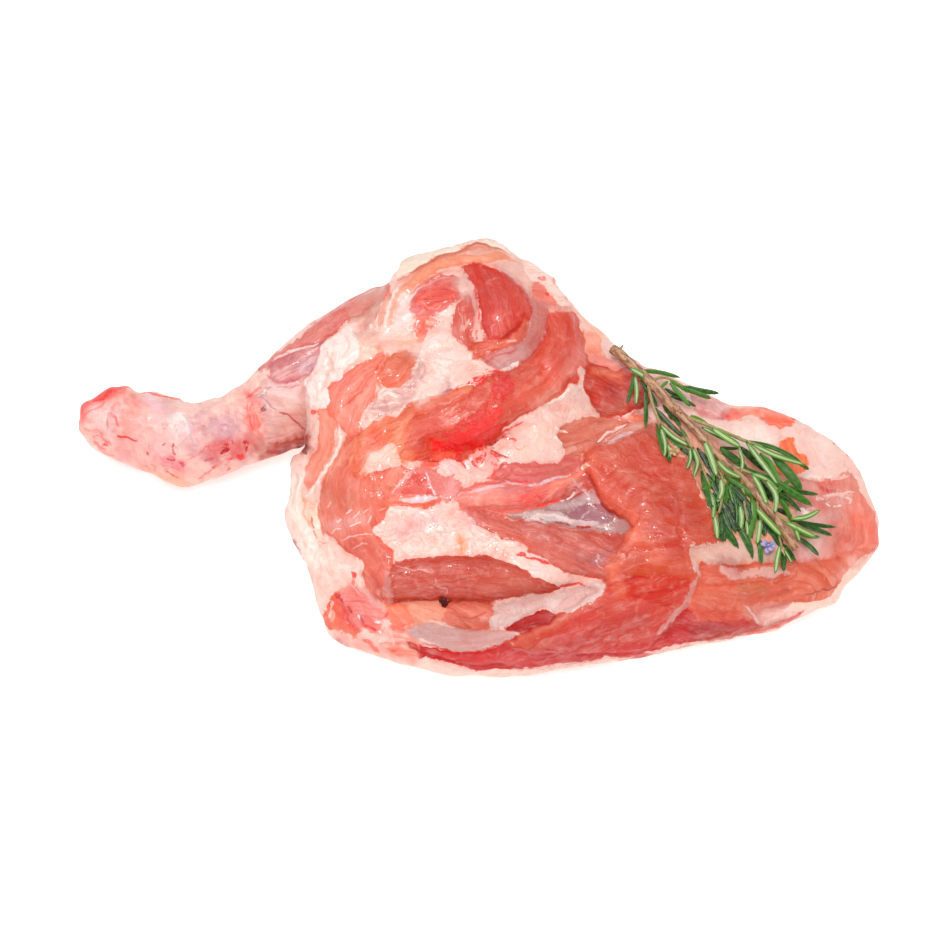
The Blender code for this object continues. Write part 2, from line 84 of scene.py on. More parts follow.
TISSUES = {
    "muscle": Tissue(dome=0.9, groove=0.26, fibre=1.0, gloss=0.5, rag=0.1, soft=0.6),
    "flat_muscle": Tissue(dome=0.3, groove=0.05, fibre=1.0, gloss=0.5, rag=0.2, soft=0.9),
    "strip": Tissue(dome=0.7, groove=0.25, fibre=0.8, gloss=0.6, rag=0.1, soft=0.6),
    "sheet": Tissue(step=1.8, dome=0.3, groove=0.2, fibre=0.5, gloss=0.6, rag=0.45, soft=0.6, lumps=0.5),
    "fat": Tissue(step=0.5, dome=0.5, lumps=0.5, gloss=0.45, rag=0.2, soft=0.6),
    "fat_flap": Tissue(step=1.2, dome=0.5, lumps=0.6, gloss=0.4, rag=0.6, soft=0.4),
    "film": Tissue(step=0.2, lumps=0.15, fibre=0.35, gloss=0.75, rag=0.3, soft=1.2),
    "silver": Tissue(step=0.15, dome=0.3, fibre=0.5, gloss=0.9, rag=0.06, soft=0.9),
    "fascia": Tissue(step=0.1, fibre=0.3, gloss=0.7, rag=0.35, soft=1.6),
    "blood": Tissue(gloss=1.0, rag=0.8, soft=0.9, fibre=0.5),
    "hole": Tissue(step=-2.2, gloss=0.3, rag=0.4, soft=0.5),
}


def pairs(row):
    """A row of numbers as points of two."""
    return list(zip(row[::2], row[1::2]))


class Patch:
    """One piece of tissue: the loop of points round it, or a line of points and half the width along it."""

    def __init__(self, layer, tissue, colour, row, width=0, grain=(), cover=1.0):
        self.layer = layer
        self.tissue = TISSUES[tissue]
        self.colour = colour
        self.points = pairs(row)
        self.width = width  # 0 for a loop
        self.grain = pairs(grain)  # the line that its fibres follow
        self.cover = cover


class Line:
    """A thin sinew, vessel, crease or cut, or a painted glint, highlight or shadow: half its width, its
    strength, and how deep or high it runs.
    """

    def __init__(self, colour, row, width=1.0, strength=0.8, depth=0.0):
        self.colour = colour
        self.points = pairs(row)
        self.width = width
        self.strength = strength
        self.depth = depth


class Stroke:
    """A soft change of colour along a line of points, or at one point, fading over its radius."""

    def __init__(self, colour, strength, radius, *row):
        self.colour = colour
        self.strength = strength
        self.radius = radius
        self.points = pairs(row)


# Colours are red, green and blue from 0 to 255, as they look in light daylight.
CREAM = (247, 205, 194)
WARM_FAT = (243, 198, 187)
YELLOW_FAT = (243, 222, 205)

PATCHES = (
    # The elbow, which stands up at the back.
    Patch(1, "fat", (237, 183, 169), (392, 300, 396, 284, 404, 274, 420, 264, 440, 256, 460, 250, 480, 246,
        497, 247, 512, 254, 530, 262, 548, 275, 560, 290, 572, 305, 560, 318, 540, 306, 520, 285, 500, 270,
        470, 262, 440, 268, 415, 285, 402, 305, 394, 330, 386, 330), cover=0.85),
    Patch(2, "strip", (240, 148, 116), (390, 331, 393, 315, 398, 300, 405, 290, 415, 280, 430, 270,
        445, 264, 470, 259, 490, 257, 505, 258, 516, 263), width=4.5),
    Patch(2, "strip", (232, 128, 99), (398, 281, 412, 272, 432, 261, 456, 252, 476, 246, 490, 247,
        505, 251), width=3.5, cover=0.8),
    Patch(3, "fat_flap", YELLOW_FAT, (397, 276, 399, 268, 403, 259, 420, 256, 430, 251, 452, 248, 470, 241,
        480, 239, 490, 240, 500, 243, 507, 249, 511, 254, 500, 250, 489, 246, 478, 243, 468, 247, 451, 253,
        438, 258, 420, 267, 407, 276)),
    Patch(2, "flat_muscle", (255, 217, 204), (519, 258, 530, 260, 541, 268, 553, 278, 561, 290, 570, 302,
        562, 304, 550, 296, 542, 286, 530, 274)),
    Patch(2, "flat_muscle", (255, 167, 141), (586, 336, 594, 333, 602, 341, 600, 352, 588, 350)),
    Patch(2, "fat", (252, 190, 167), (570, 303, 580, 302, 590, 316, 602, 330, 604, 340, 594, 334, 584, 322,
        574, 312)),
    Patch(2, "strip", (241, 153, 140), (588, 357, 600, 360, 625, 368), width=5),
    Patch(2, "flat_muscle", (220, 101, 97), (410, 312, 411, 299, 417, 291, 427, 283, 438, 277, 450, 276,
        457, 279, 458, 290, 458, 297, 452, 300, 447, 308, 440, 310, 430, 313, 420, 314), grain=(412, 308,
        455, 282)),
    Patch(3, "muscle", (236, 93, 78), (416, 299, 425, 291, 440, 288, 452, 291, 457, 294, 450, 300, 445, 306,
        435, 308, 425, 307, 419, 303), grain=(416, 300, 456, 292)),
    Patch(2, "flat_muscle", (245, 123, 104), (413, 330, 414, 322, 418, 318, 427, 316, 435, 317, 440, 321,
        439, 326, 432, 328, 424, 328, 427, 333, 424, 340, 419, 337, 418, 332), grain=(416, 318, 424, 338)),
    Patch(3, "fat", (248, 162, 141), (426, 321, 436, 321, 435, 325, 428, 325)),
    Patch(2, "flat_muscle", (239, 139, 124), (534, 284, 540, 282, 546, 284, 552, 291, 555, 299, 553, 304,
        545, 300, 538, 299, 534, 292)),
    Patch(2, "muscle", (215, 104, 91), (469, 296, 463, 300, 459, 304, 457, 312, 455, 322, 453, 331,
        457, 338, 463, 344, 467, 347, 470, 340, 473, 325, 474, 312, 472, 300), grain=(466, 298, 464, 345)),
    Patch(2, "muscle", (214, 74, 63), (466, 266, 475, 264, 485, 265, 493, 267, 500, 271, 510, 279, 520, 288,
        528, 297, 531, 305, 531, 312, 528, 318, 524, 316, 521, 318, 520, 324, 515, 330, 508, 334, 502, 338,
        492, 339, 486, 339, 484, 330, 482, 320, 481, 310, 480, 300, 477, 290, 472, 280, 468, 273),
        grain=(470, 262, 492, 300, 500, 345)),
    Patch(3, "silver", (209, 140, 136), (497, 267, 512, 277, 524, 288, 533, 301, 533, 312), width=3.4,
        cover=0.7),
    Patch(2, "strip", (218, 98, 75), (524, 317, 526, 322, 527, 328, 525, 334, 518, 342, 508, 346, 495, 352,
        480, 358, 470, 360, 470, 345, 480, 342, 495, 339, 503, 339, 512, 335, 519, 329, 521, 321),
        grain=(470, 353, 500, 343, 524, 322)),
    Patch(2, "silver", (210, 133, 128), (533, 295, 545, 302, 549, 307, 546, 320, 543, 335, 540, 345,
        533, 353, 520, 362, 508, 370, 498, 369, 480, 362, 500, 350, 520, 342, 528, 335, 530, 320),
        grain=(540, 298, 538, 335, 500, 365)),
    # The arm's muscle, from the right of the elbow down and to the left.
    Patch(1, "muscle", (219, 91, 73), (548, 312, 549, 307, 556, 305, 562, 304, 568, 307, 574, 314, 579, 322,
        583, 335, 586, 348, 588, 360, 586, 368, 580, 376, 579, 380, 572, 385, 568, 382, 566, 388, 560, 394,
        550, 400, 540, 405, 525, 413, 515, 420, 505, 427, 498, 435, 488, 446, 480, 452, 465, 462, 445, 462,
        425, 460, 402, 458, 396, 446, 399, 430, 410, 420, 425, 408, 440, 402, 455, 396, 470, 390, 485, 381,
        495, 374, 505, 371, 515, 367, 525, 360, 533, 353, 540, 345, 542, 335, 545, 325, 547, 316),
        grain=(562, 304, 572, 345, 545, 385, 490, 420, 410, 448)),
    # The muscles on the left of the fat hollow.
    Patch(1, "muscle", (235, 129, 97), (410, 407, 425, 398, 440, 394, 455, 390, 470, 384, 470, 394,
        445, 404, 428, 412, 410, 422, 402, 436, 398, 446, 385, 444, 372, 452, 364, 466, 356, 474, 345, 462,
        346, 446, 357, 432, 370, 424, 385, 417, 400, 415), grain=(350, 460, 385, 425, 470, 388)),
    Patch(2, "muscle", (228, 117, 89), (402, 351, 410, 353, 417, 358, 410, 370, 404, 380, 392, 387,
        382, 385, 378, 378, 382, 368, 390, 358), grain=(380, 384, 414, 355)),
    Patch(1, "muscle", (242, 137, 118), (385, 356, 372, 360, 360, 364, 347, 373, 340, 380, 330, 383,
        327, 395, 327, 410, 335, 420, 345, 432, 354, 437, 360, 428, 363, 415, 371, 400, 376, 385),
        grain=(384, 358, 350, 390, 340, 430)),
    Patch(1, "strip", (242, 148, 127), (320, 410, 327, 412, 333, 420, 335, 430, 333, 445, 329, 455,
        322, 468, 317, 478, 311, 488, 307, 489, 304, 480, 306, 470, 311, 458, 317, 445, 320, 430, 319, 418),
        grain=(325, 410, 326, 440, 308, 488)),
    Patch(1, "muscle", (231, 121, 101), (357, 432, 345, 442, 337, 455, 330, 468, 324, 483, 320, 497,
        320, 510, 321, 522, 325, 532, 332, 536, 340, 545, 350, 552, 357, 557, 362, 562, 362, 578, 367, 590,
        375, 598, 392, 600, 387, 585, 395, 558, 392, 550, 380, 538, 373, 530, 383, 522, 385, 512, 395, 508,
        420, 508, 440, 503, 430, 490, 410, 470, 395, 462, 385, 470, 366, 474, 354, 476, 352, 460, 358, 445),
        grain=(356, 436, 334, 480, 345, 530, 378, 590)),
    Patch(2, "strip", (242, 126, 104), (383, 506, 398, 500, 415, 501, 432, 502), width=4.5, grain=(380, 506,
        434, 502)),
    # The cut end of the lower muscle and the rolls under it.
    Patch(1, "muscle", (199, 85, 70), (391, 568, 398, 561, 425, 558, 440, 556, 470, 555, 490, 558, 505, 561,
        520, 567, 535, 575, 550, 583, 561, 588, 545, 592, 515, 597, 470, 600, 438, 599, 392, 600, 386, 588),
        grain=(388, 584, 470, 576, 560, 590)),
    Patch(1, "strip", (246, 133, 107), (387, 608, 392, 604, 404, 605, 408, 612, 413, 622, 405, 628,
        395, 628, 388, 618), grain=(390, 606, 408, 626)),
    Patch(1, "muscle", (234, 156, 131), (403, 601, 420, 600, 438, 602, 446, 606, 446, 612, 440, 620,
        420, 625, 410, 617), grain=(404, 604, 444, 618)),
    Patch(1, "muscle", (223, 122, 102), (446, 604, 470, 603, 492, 604, 494, 614, 490, 622, 486, 629,
        465, 629, 445, 622, 444, 612), grain=(446, 606, 490, 626)),
    # The deep muscles between the fat hollow and the sheet.
    Patch(1, "muscle", (218, 131, 111), (562, 427, 570, 420, 585, 417, 600, 419, 625, 423, 612, 431,
        600, 438, 590, 450, 584, 452, 583, 460, 565, 458, 562, 448, 558, 438), grain=(560, 445, 620, 424)),
    Patch(1, "muscle", (201, 75, 64), (587, 368, 600, 366, 625, 370, 638, 378, 650, 392, 648, 405, 630, 412,
        612, 416, 598, 415, 590, 405, 583, 396, 580, 384), grain=(584, 378, 645, 402)),
    Patch(1, "muscle", (219, 113, 108), (493, 475, 497, 469, 505, 465, 520, 463, 534, 463, 545, 464,
        556, 462, 564, 459, 575, 461, 583, 463, 580, 469, 572, 473, 562, 475, 550, 477, 540, 480, 522, 481,
        508, 481, 497, 479), grain=(495, 476, 540, 472, 583, 463)),
    Patch(1, "muscle", (238, 130, 120), (457, 501, 459, 496, 462, 491, 475, 485, 490, 482, 500, 484,
        515, 485, 530, 485, 545, 483, 558, 478, 570, 474, 582, 470, 588, 466, 591, 473, 582, 475, 574, 479,
        569, 484, 566, 490, 563, 497, 558, 501, 546, 505, 532, 508, 515, 511, 500, 512, 485, 509, 465, 508),
        grain=(458, 502, 530, 499, 588, 468)),
    Patch(2, "muscle", (200, 101, 92), (563, 498, 566, 491, 570, 484, 576, 479, 583, 477, 589, 478,
        592, 484, 590, 490, 583, 494, 574, 497), grain=(564, 497, 578, 486, 590, 480)),
    Patch(1, "silver", (183, 151, 150), (508, 513, 520, 511, 535, 509, 547, 507, 560, 502, 570, 498,
        583, 493, 592, 486, 597, 492, 602, 500, 607, 508, 615, 512, 623, 517, 630, 524, 631, 529, 626, 533,
        614, 533, 600, 532, 590, 529, 575, 526, 560, 524, 548, 522, 535, 520, 522, 517), grain=(510, 514,
        628, 526)),
    Patch(2, "silver", (210, 195, 191), (512, 513, 530, 511, 548, 510, 560, 512, 568, 516, 575, 521,
        565, 523, 550, 521, 535, 519, 520, 516), cover=0.9),
    Patch(3, "silver", (199, 182, 183), (548, 507, 562, 503, 577, 499, 590, 494, 598, 498, 601, 503,
        588, 503, 572, 506, 558, 510), cover=0.8),
    Patch(2, "film", (161, 104, 115), (563, 513, 573, 508, 588, 504, 602, 503, 608, 508, 614, 511, 614, 518,
        606, 523, 590, 523, 576, 521, 568, 517), cover=0.9),
    Patch(1, "muscle", (210, 111, 99), (463, 511, 480, 513, 495, 516, 525, 522, 560, 528, 600, 534,
        624, 536, 618, 552, 607, 570, 602, 578, 575, 577, 548, 562, 527, 550, 505, 541, 487, 529, 474, 521),
        grain=(465, 513, 545, 540, 606, 566)),
    # The lower front band and its silver skin.
    Patch(1, "muscle", (200, 62, 62), (408, 641, 420, 646, 440, 650, 470, 653, 500, 647, 520, 636, 545, 624,
        575, 608, 600, 592, 640, 598, 700, 610, 760, 624, 720, 640, 660, 655, 600, 660, 560, 666, 520, 670,
        480, 668, 450, 662, 425, 655), grain=(410, 645, 480, 662, 580, 642, 720, 618)),
    Patch(2, "silver", (208, 163, 158), (408, 632, 418, 626, 430, 623, 445, 626, 460, 630, 490, 629,
        518, 631, 512, 638, 500, 643, 485, 647, 470, 650, 455, 650, 440, 645, 422, 640), grain=(410, 634,
        470, 642, 518, 632)),
    Patch(2, "muscle", (180, 63, 62), (508, 627, 520, 619, 535, 612, 545, 609, 555, 616, 552, 622, 540, 626,
        522, 629), grain=(508, 627, 552, 618)),
    # The left edge.
    Patch(1, "strip", (251, 243, 225), (305, 499, 310, 506, 314, 518, 316, 532, 322, 548), width=4,
        cover=0.85),
    Patch(1, "flat_muscle", (238, 120, 99), (316, 595, 322, 590, 333, 589, 338, 598, 344, 612, 350, 622,
        357, 632, 350, 635, 340, 631, 330, 630, 324, 620, 321, 608), grain=(325, 598, 350, 633)),
    Patch(2, "flat_muscle", (247, 141, 134), (342, 592, 352, 588, 362, 596, 378, 606, 384, 612, 382, 618,
        372, 618, 380, 628, 374, 632, 362, 628, 352, 626, 347, 616, 342, 606, 339, 599)),
    Patch(3, "blood", (225, 62, 62), (342, 610, 347, 611, 352, 621, 357, 629, 352, 629, 346, 622, 342, 616),
        cover=0.8),
    Patch(2, "flat_muscle", (255, 152, 138), (384, 634, 392, 630, 404, 634, 416, 642, 420, 652, 408, 658,
        394, 654, 384, 648, 378, 640), cover=0.6),
    Patch(1, "fascia", (234, 171, 163), (350, 560, 358, 562, 363, 574, 370, 590, 380, 600, 386, 612,
        376, 606, 362, 590, 352, 575), cover=0.7),
    Patch(2, "flat_muscle", (181, 69, 64), (290, 541, 296, 539, 303, 547, 303, 556, 296, 554)),
    # The right side: what lies beyond the sheet.
    Patch(1, "muscle", (233, 147, 131), (794, 480, 812, 480, 836, 479, 840, 474, 848, 473, 854, 480,
        857, 490, 865, 500, 872, 512, 876, 523, 879, 538, 879, 549, 862, 550, 845, 555, 830, 559, 800, 563,
        788, 560, 794, 530, 796, 500), grain=(850, 478, 858, 540, 800, 600)),
    Patch(1, "muscle", (224, 118, 95), (690, 580, 705, 576, 730, 580, 745, 577, 775, 577, 788, 574,
        792, 563, 810, 561, 830, 558, 845, 554, 862, 549, 875, 548, 868, 556, 855, 562, 846, 570, 841, 578,
        838, 590, 828, 598, 815, 603, 795, 603, 775, 606, 760, 608, 752, 618, 740, 628, 705, 638, 676, 642,
        664, 634, 680, 616, 688, 600), grain=(690, 592, 740, 606, 800, 596)),
    Patch(2, "muscle", (221, 128, 130), (690, 396, 702, 394, 718, 400, 730, 410, 724, 418, 708, 418,
        696, 410), cover=0.8, grain=(690, 398, 728, 414)),
    Patch(1, "muscle", (241, 177, 150), (660, 420, 700, 430, 735, 452, 765, 468, 792, 478, 798, 500,
        796, 530, 795, 556, 790, 572, 760, 582, 720, 584, 694, 584, 682, 560, 678, 500, 668, 460),
        grain=(670, 440, 700, 500, 780, 540)),
    Patch(1, "fat", CREAM, (700, 418, 722, 420, 757, 415, 780, 424, 800, 424, 830, 436, 850, 455, 853, 470,
        838, 478, 800, 477, 780, 470, 760, 470, 740, 455, 715, 440)),
    Patch(2, "flat_muscle", (251, 97, 78), (727, 413, 745, 409, 757, 406, 757, 411, 735, 420, 728, 420),
        grain=(727, 416, 757, 408)),
    Patch(2, "flat_muscle", (254, 118, 91), (758, 413, 765, 406, 776, 408, 787, 413, 799, 420, 790, 425,
        778, 425, 762, 420), grain=(760, 410, 796, 422)),
    Patch(2, "flat_muscle", (251, 130, 88), (780, 446, 784, 440, 790, 437, 794, 438, 793, 446, 797, 452,
        806, 458, 808, 464, 798, 472, 786, 474, 774, 470, 782, 460, 785, 452), grain=(788, 438, 792, 472)),
    Patch(3, "fat", (253, 206, 194), (795, 440, 801, 446, 803, 453, 798, 453, 794, 447)),
    # The thin sheet of muscle that lies over the middle, from the fat hollow to the far edge.
    Patch(3, "sheet", (203, 90, 71), (584, 452, 583, 457, 585, 464, 587, 470, 592, 483, 600, 497, 606, 508,
        612, 514, 622, 518, 633, 527, 628, 532, 623, 537, 625, 541, 619, 548, 626, 557, 608, 562, 603, 568,
        607, 574, 600, 590, 590, 597, 575, 607, 555, 617, 548, 624, 520, 634, 516, 640, 505, 644, 540, 650,
        600, 650, 640, 648, 655, 633, 665, 626, 676, 615, 684, 602, 690, 590, 699, 577, 690, 560, 689, 550,
        705, 545, 720, 542, 716, 520, 700, 490, 690, 470, 680, 455, 668, 440, 655, 425, 640, 432, 622, 440,
        605, 445, 595, 446), grain=(700, 505, 640, 500, 600, 470)),
    Patch(3, "film", (214, 129, 111), (594, 446, 604, 434, 615, 427, 628, 420, 640, 416, 650, 424, 638, 433,
        620, 441, 605, 447), cover=0.85),
    Patch(4, "flat_muscle", (208, 66, 62), (560, 627, 590, 606, 606, 592, 612, 572, 640, 576, 690, 580,
        682, 604, 668, 622, 655, 634, 645, 650, 600, 655, 560, 652, 530, 644), grain=(540, 642, 612, 612,
        700, 578), cover=0.75),
    # Pale films and seams over the right side.
    Patch(4, "film", (219, 184, 172), (687, 552, 692, 547, 700, 545, 712, 543, 725, 541, 745, 540, 752, 545,
        765, 551, 785, 556, 775, 562, 760, 563, 745, 562, 735, 565, 720, 564, 706, 564, 697, 562, 700, 571,
        702, 578, 696, 574, 690, 564), cover=0.9),
    Patch(2, "muscle", (219, 111, 90), (703, 562, 735, 565, 762, 561, 785, 557, 797, 555, 797, 574,
        778, 580, 740, 583, 703, 583), grain=(704, 572, 750, 574, 796, 566)),
    Patch(4, "film", (225, 176, 166), (720, 568, 732, 567, 742, 571, 760, 568, 778, 568, 790, 574, 775, 577,
        760, 577, 745, 579, 732, 581, 726, 576), cover=0.9),
    Patch(4, "fat", (211, 139, 132), (699, 575, 694, 586, 689, 597, 682, 608, 672, 619, 660, 628, 650, 637),
        width=3.4),
    Patch(2, "fat", CREAM, (846, 452, 856, 470, 867, 490, 875, 510), width=3.6),
    Patch(2, "film", (225, 158, 152), (790, 482, 803, 479, 814, 482, 820, 492, 826, 500, 838, 506, 838, 520,
        832, 530, 830, 545, 832, 555, 815, 559, 795, 562, 790, 550, 794, 530, 792, 505), cover=0.85),
    Patch(2, "fat", (248, 211, 196), (866, 556, 876, 552, 870, 564, 858, 576, 850, 590, 838, 600, 815, 608,
        790, 612, 775, 612, 790, 604, 812, 602, 828, 597, 838, 588, 842, 577, 850, 566)),
    Patch(2, "film", (224, 159, 149), (750, 606, 760, 602, 775, 603, 790, 603, 805, 603, 815, 604, 800, 610,
        782, 614, 770, 620, 756, 624, 752, 615), cover=0.75),
    # Fat on the left, over the muscles.
    Patch(2, "fat", CREAM, (430, 336, 450, 330, 456, 338, 466, 350, 480, 360, 494, 368, 484, 378, 470, 384,
        455, 390, 440, 394, 426, 398, 412, 402, 400, 414, 396, 417, 385, 416, 372, 424, 362, 430, 362, 416,
        372, 400, 380, 388, 392, 388, 404, 381, 411, 370, 418, 357, 422, 345)),
    Patch(3, "fascia", (187, 125, 121), (420, 356, 412, 370, 404, 382, 394, 389, 381, 391, 373, 402,
        364, 418, 378, 416, 396, 414, 410, 403, 420, 388, 426, 370), cover=0.75),
    Patch(3, "fascia", (180, 105, 122), (447, 372, 451, 384, 453, 393, 436, 394, 442, 384), cover=0.7),
    Patch(3, "fat_flap", (250, 226, 219), (340, 332, 345, 329, 350, 330, 355, 338, 358, 345, 360, 355,
        355, 362, 345, 370, 341, 378, 335, 382, 328, 387, 330, 397, 326, 409, 313, 407, 310, 404, 308, 397,
        304, 386, 308, 378, 316, 368, 319, 358, 321, 347, 325, 342, 332, 338)),
    Patch(3, "fat", (248, 199, 182), (358, 340, 366, 334, 376, 336, 380, 344, 378, 354, 370, 360, 361, 362,
        358, 352)),
    Patch(3, "flat_muscle", (244, 180, 160), (368, 344, 375, 341, 384, 345, 382, 352, 372, 353)),
    Patch(3, "fat", (247, 192, 177), (386, 443, 379, 447, 371, 455, 366, 463, 360, 469, 358, 475, 370, 471,
        381, 467, 398, 466, 400, 460, 398, 448, 393, 444)),
    Patch(2, "film", (223, 126, 116), (417, 467, 408, 475, 398, 488, 388, 497, 410, 495, 430, 495, 438, 498,
        450, 500, 460, 492, 458, 480, 446, 474, 430, 469), grain=(395, 495, 440, 480)),
    Patch(3, "flat_muscle", (222, 83, 74), (414, 474, 424, 473, 430, 482, 432, 492, 414, 494, 402, 495,
        408, 484), cover=0.85, grain=(404, 494, 430, 478)),
    Patch(3, "fat", (227, 216, 222), (398, 500, 412, 497, 425, 494, 438, 498, 430, 501, 414, 503),
        cover=0.9),
    # Fat of the left margin.
    Patch(2, "fat_flap", CREAM, (318, 420, 312, 440, 302, 458, 291, 456, 292, 478, 290, 500, 284, 512,
        286, 525, 293, 540, 300, 553, 308, 575, 316, 600, 324, 616, 330, 600, 340, 588, 352, 586, 364, 588,
        362, 576, 364, 562, 356, 557, 344, 548, 334, 541, 325, 533, 322, 548, 316, 534, 313, 516, 308, 504,
        303, 498, 303, 484, 307, 468, 315, 448, 320, 430)),
    # The pale plate of fat over the middle.
    Patch(2, "fat", CREAM, (390, 508, 410, 507, 430, 510, 455, 512, 463, 510, 470, 517, 480, 526, 490, 534,
        500, 541, 520, 543, 527, 548, 527, 553, 540, 558, 555, 565, 570, 573, 580, 577, 600, 580, 600, 590,
        583, 588, 560, 587, 548, 581, 535, 575, 520, 567, 505, 561, 490, 558, 470, 556, 440, 556, 425, 558,
        398, 561, 392, 566, 394, 552, 382, 540, 373, 530, 384, 521)),
    Patch(2, "fat", WARM_FAT, (497, 455, 505, 445, 510, 430, 525, 417, 540, 408, 560, 399, 583, 394,
        592, 405, 601, 417, 585, 418, 572, 421, 562, 427, 556, 434, 562, 446, 563, 458, 550, 461, 530, 463,
        510, 465, 498, 463)),
    Patch(4, "fat", (231, 191, 181), (578, 367, 583, 367, 586, 374, 584, 382, 584, 390, 590, 400, 600, 415,
        596, 418, 585, 408, 575, 402, 560, 402, 548, 406, 540, 407, 548, 402, 560, 396, 566, 390, 572, 389,
        569, 384, 576, 385, 579, 378, 577, 372)),
    Patch(4, "fat", (255, 242, 218), (581, 466, 585, 463, 588, 467, 586, 471, 582, 470)),
    # The pale flake and the fat beneath the lower muscle.
    Patch(4, "fat", (221, 189, 183), (493, 606, 515, 602, 540, 595, 562, 590, 575, 587, 600, 581, 603, 590,
        595, 600, 580, 607, 572, 612, 555, 612, 545, 607, 535, 611, 520, 619, 508, 624, 495, 628, 489, 621,
        494, 614)),
    Patch(3, "film", (207, 148, 147), (386, 575, 391, 569, 391, 584, 394, 600, 388, 603, 384, 590),
        cover=0.8),
    Patch(3, "film", (228, 196, 194), (521, 522, 530, 520, 545, 522, 548, 527, 544, 532, 550, 536, 561, 541,
        548, 541, 530, 538, 523, 533, 520, 527), cover=0.5),
    # The knot of fat and blood in the middle, and the blood round it.
    Patch(4, "blood", (236, 64, 63), (440, 440, 452, 434, 466, 428, 478, 420, 490, 411, 500, 407, 503, 412,
        494, 422, 503, 424, 508, 421, 500, 432, 491, 441, 482, 447, 468, 450, 454, 452, 442, 450)),
    Patch(4, "blood", (219, 62, 61), (500, 374, 510, 374, 516, 380, 514, 390, 508, 398, 501, 402, 498, 392,
        498, 382)),
    Patch(4, "blood", (221, 61, 61), (494, 374, 495, 382, 496, 392, 494, 401, 487, 407, 478, 415, 470, 421,
        458, 428, 446, 434, 434, 440), width=3.4),
    Patch(4, "blood", (246, 61, 63), (429, 438, 440, 438, 450, 444, 459, 450, 460, 456, 452, 460, 456, 452,
        446, 448, 437, 450, 432, 458, 429, 450)),
    Patch(4, "blood", (239, 61, 61), (486, 364, 487, 369, 482, 376, 473, 379, 465, 384), width=2.2),
    Patch(4, "flat_muscle", (251, 104, 83), (428, 462, 434, 455, 444, 451, 454, 453, 456, 457, 446, 461,
        434, 466, 424, 468)),
    Patch(4, "fat", (253, 184, 176), (464, 460, 470, 455, 476, 451, 486, 450, 492, 455, 497, 460, 498, 468,
        492, 474, 484, 478, 476, 474, 468, 472, 461, 468)),
    Patch(4, "fat", (249, 204, 199), (443, 462, 450, 460, 456, 463, 456, 471, 448, 472, 442, 468)),
    Patch(4, "blood", (255, 100, 91), (475, 453, 481, 450, 487, 452), width=2.2),
    # A small hole: sunk, and painted dark as the shade in it.
    Patch(4, "hole", (100, 63, 63), (438, 598, 445, 598, 453, 600, 450, 603, 446, 608, 442, 606)),
    # The shank.
    Patch(1, "muscle", (218, 122, 113), (258, 370, 272, 357, 290, 346, 310, 328, 335, 308, 358, 296,
        380, 286, 390, 284, 388, 296, 372, 306, 352, 318, 336, 330, 322, 341, 300, 346, 284, 352, 270, 362),
        grain=(260, 368, 388, 288)),
    Patch(2, "fascia", (217, 163, 149), (352, 300, 366, 290, 384, 286, 390, 300, 386, 320, 374, 332,
        358, 328, 348, 316), cover=0.75),
    Patch(1, "muscle", (208, 116, 126), (270, 366, 285, 354, 305, 348, 322, 344, 318, 360, 308, 374,
        290, 382, 276, 380), cover=0.8, grain=(272, 374, 318, 348)),
    Patch(1, "silver", (220, 174, 169), (264, 378, 280, 384, 298, 382, 308, 378, 306, 400, 310, 420,
        308, 436, 288, 440, 270, 440, 262, 420, 260, 398), cover=0.8),
    Patch(2, "fat", (244, 243, 235), (166, 418, 176, 413, 188, 418, 192, 430, 190, 442, 180, 447, 168, 443,
        164, 430), cover=0.9),
    # Painted shade along the shank's underside, where it joins the shoulder.
    Patch(1, "flat_muscle", (190, 78, 62), (262, 449, 284, 442, 300, 437, 307, 437, 307, 452, 298, 458,
        280, 456), cover=0.55),
)
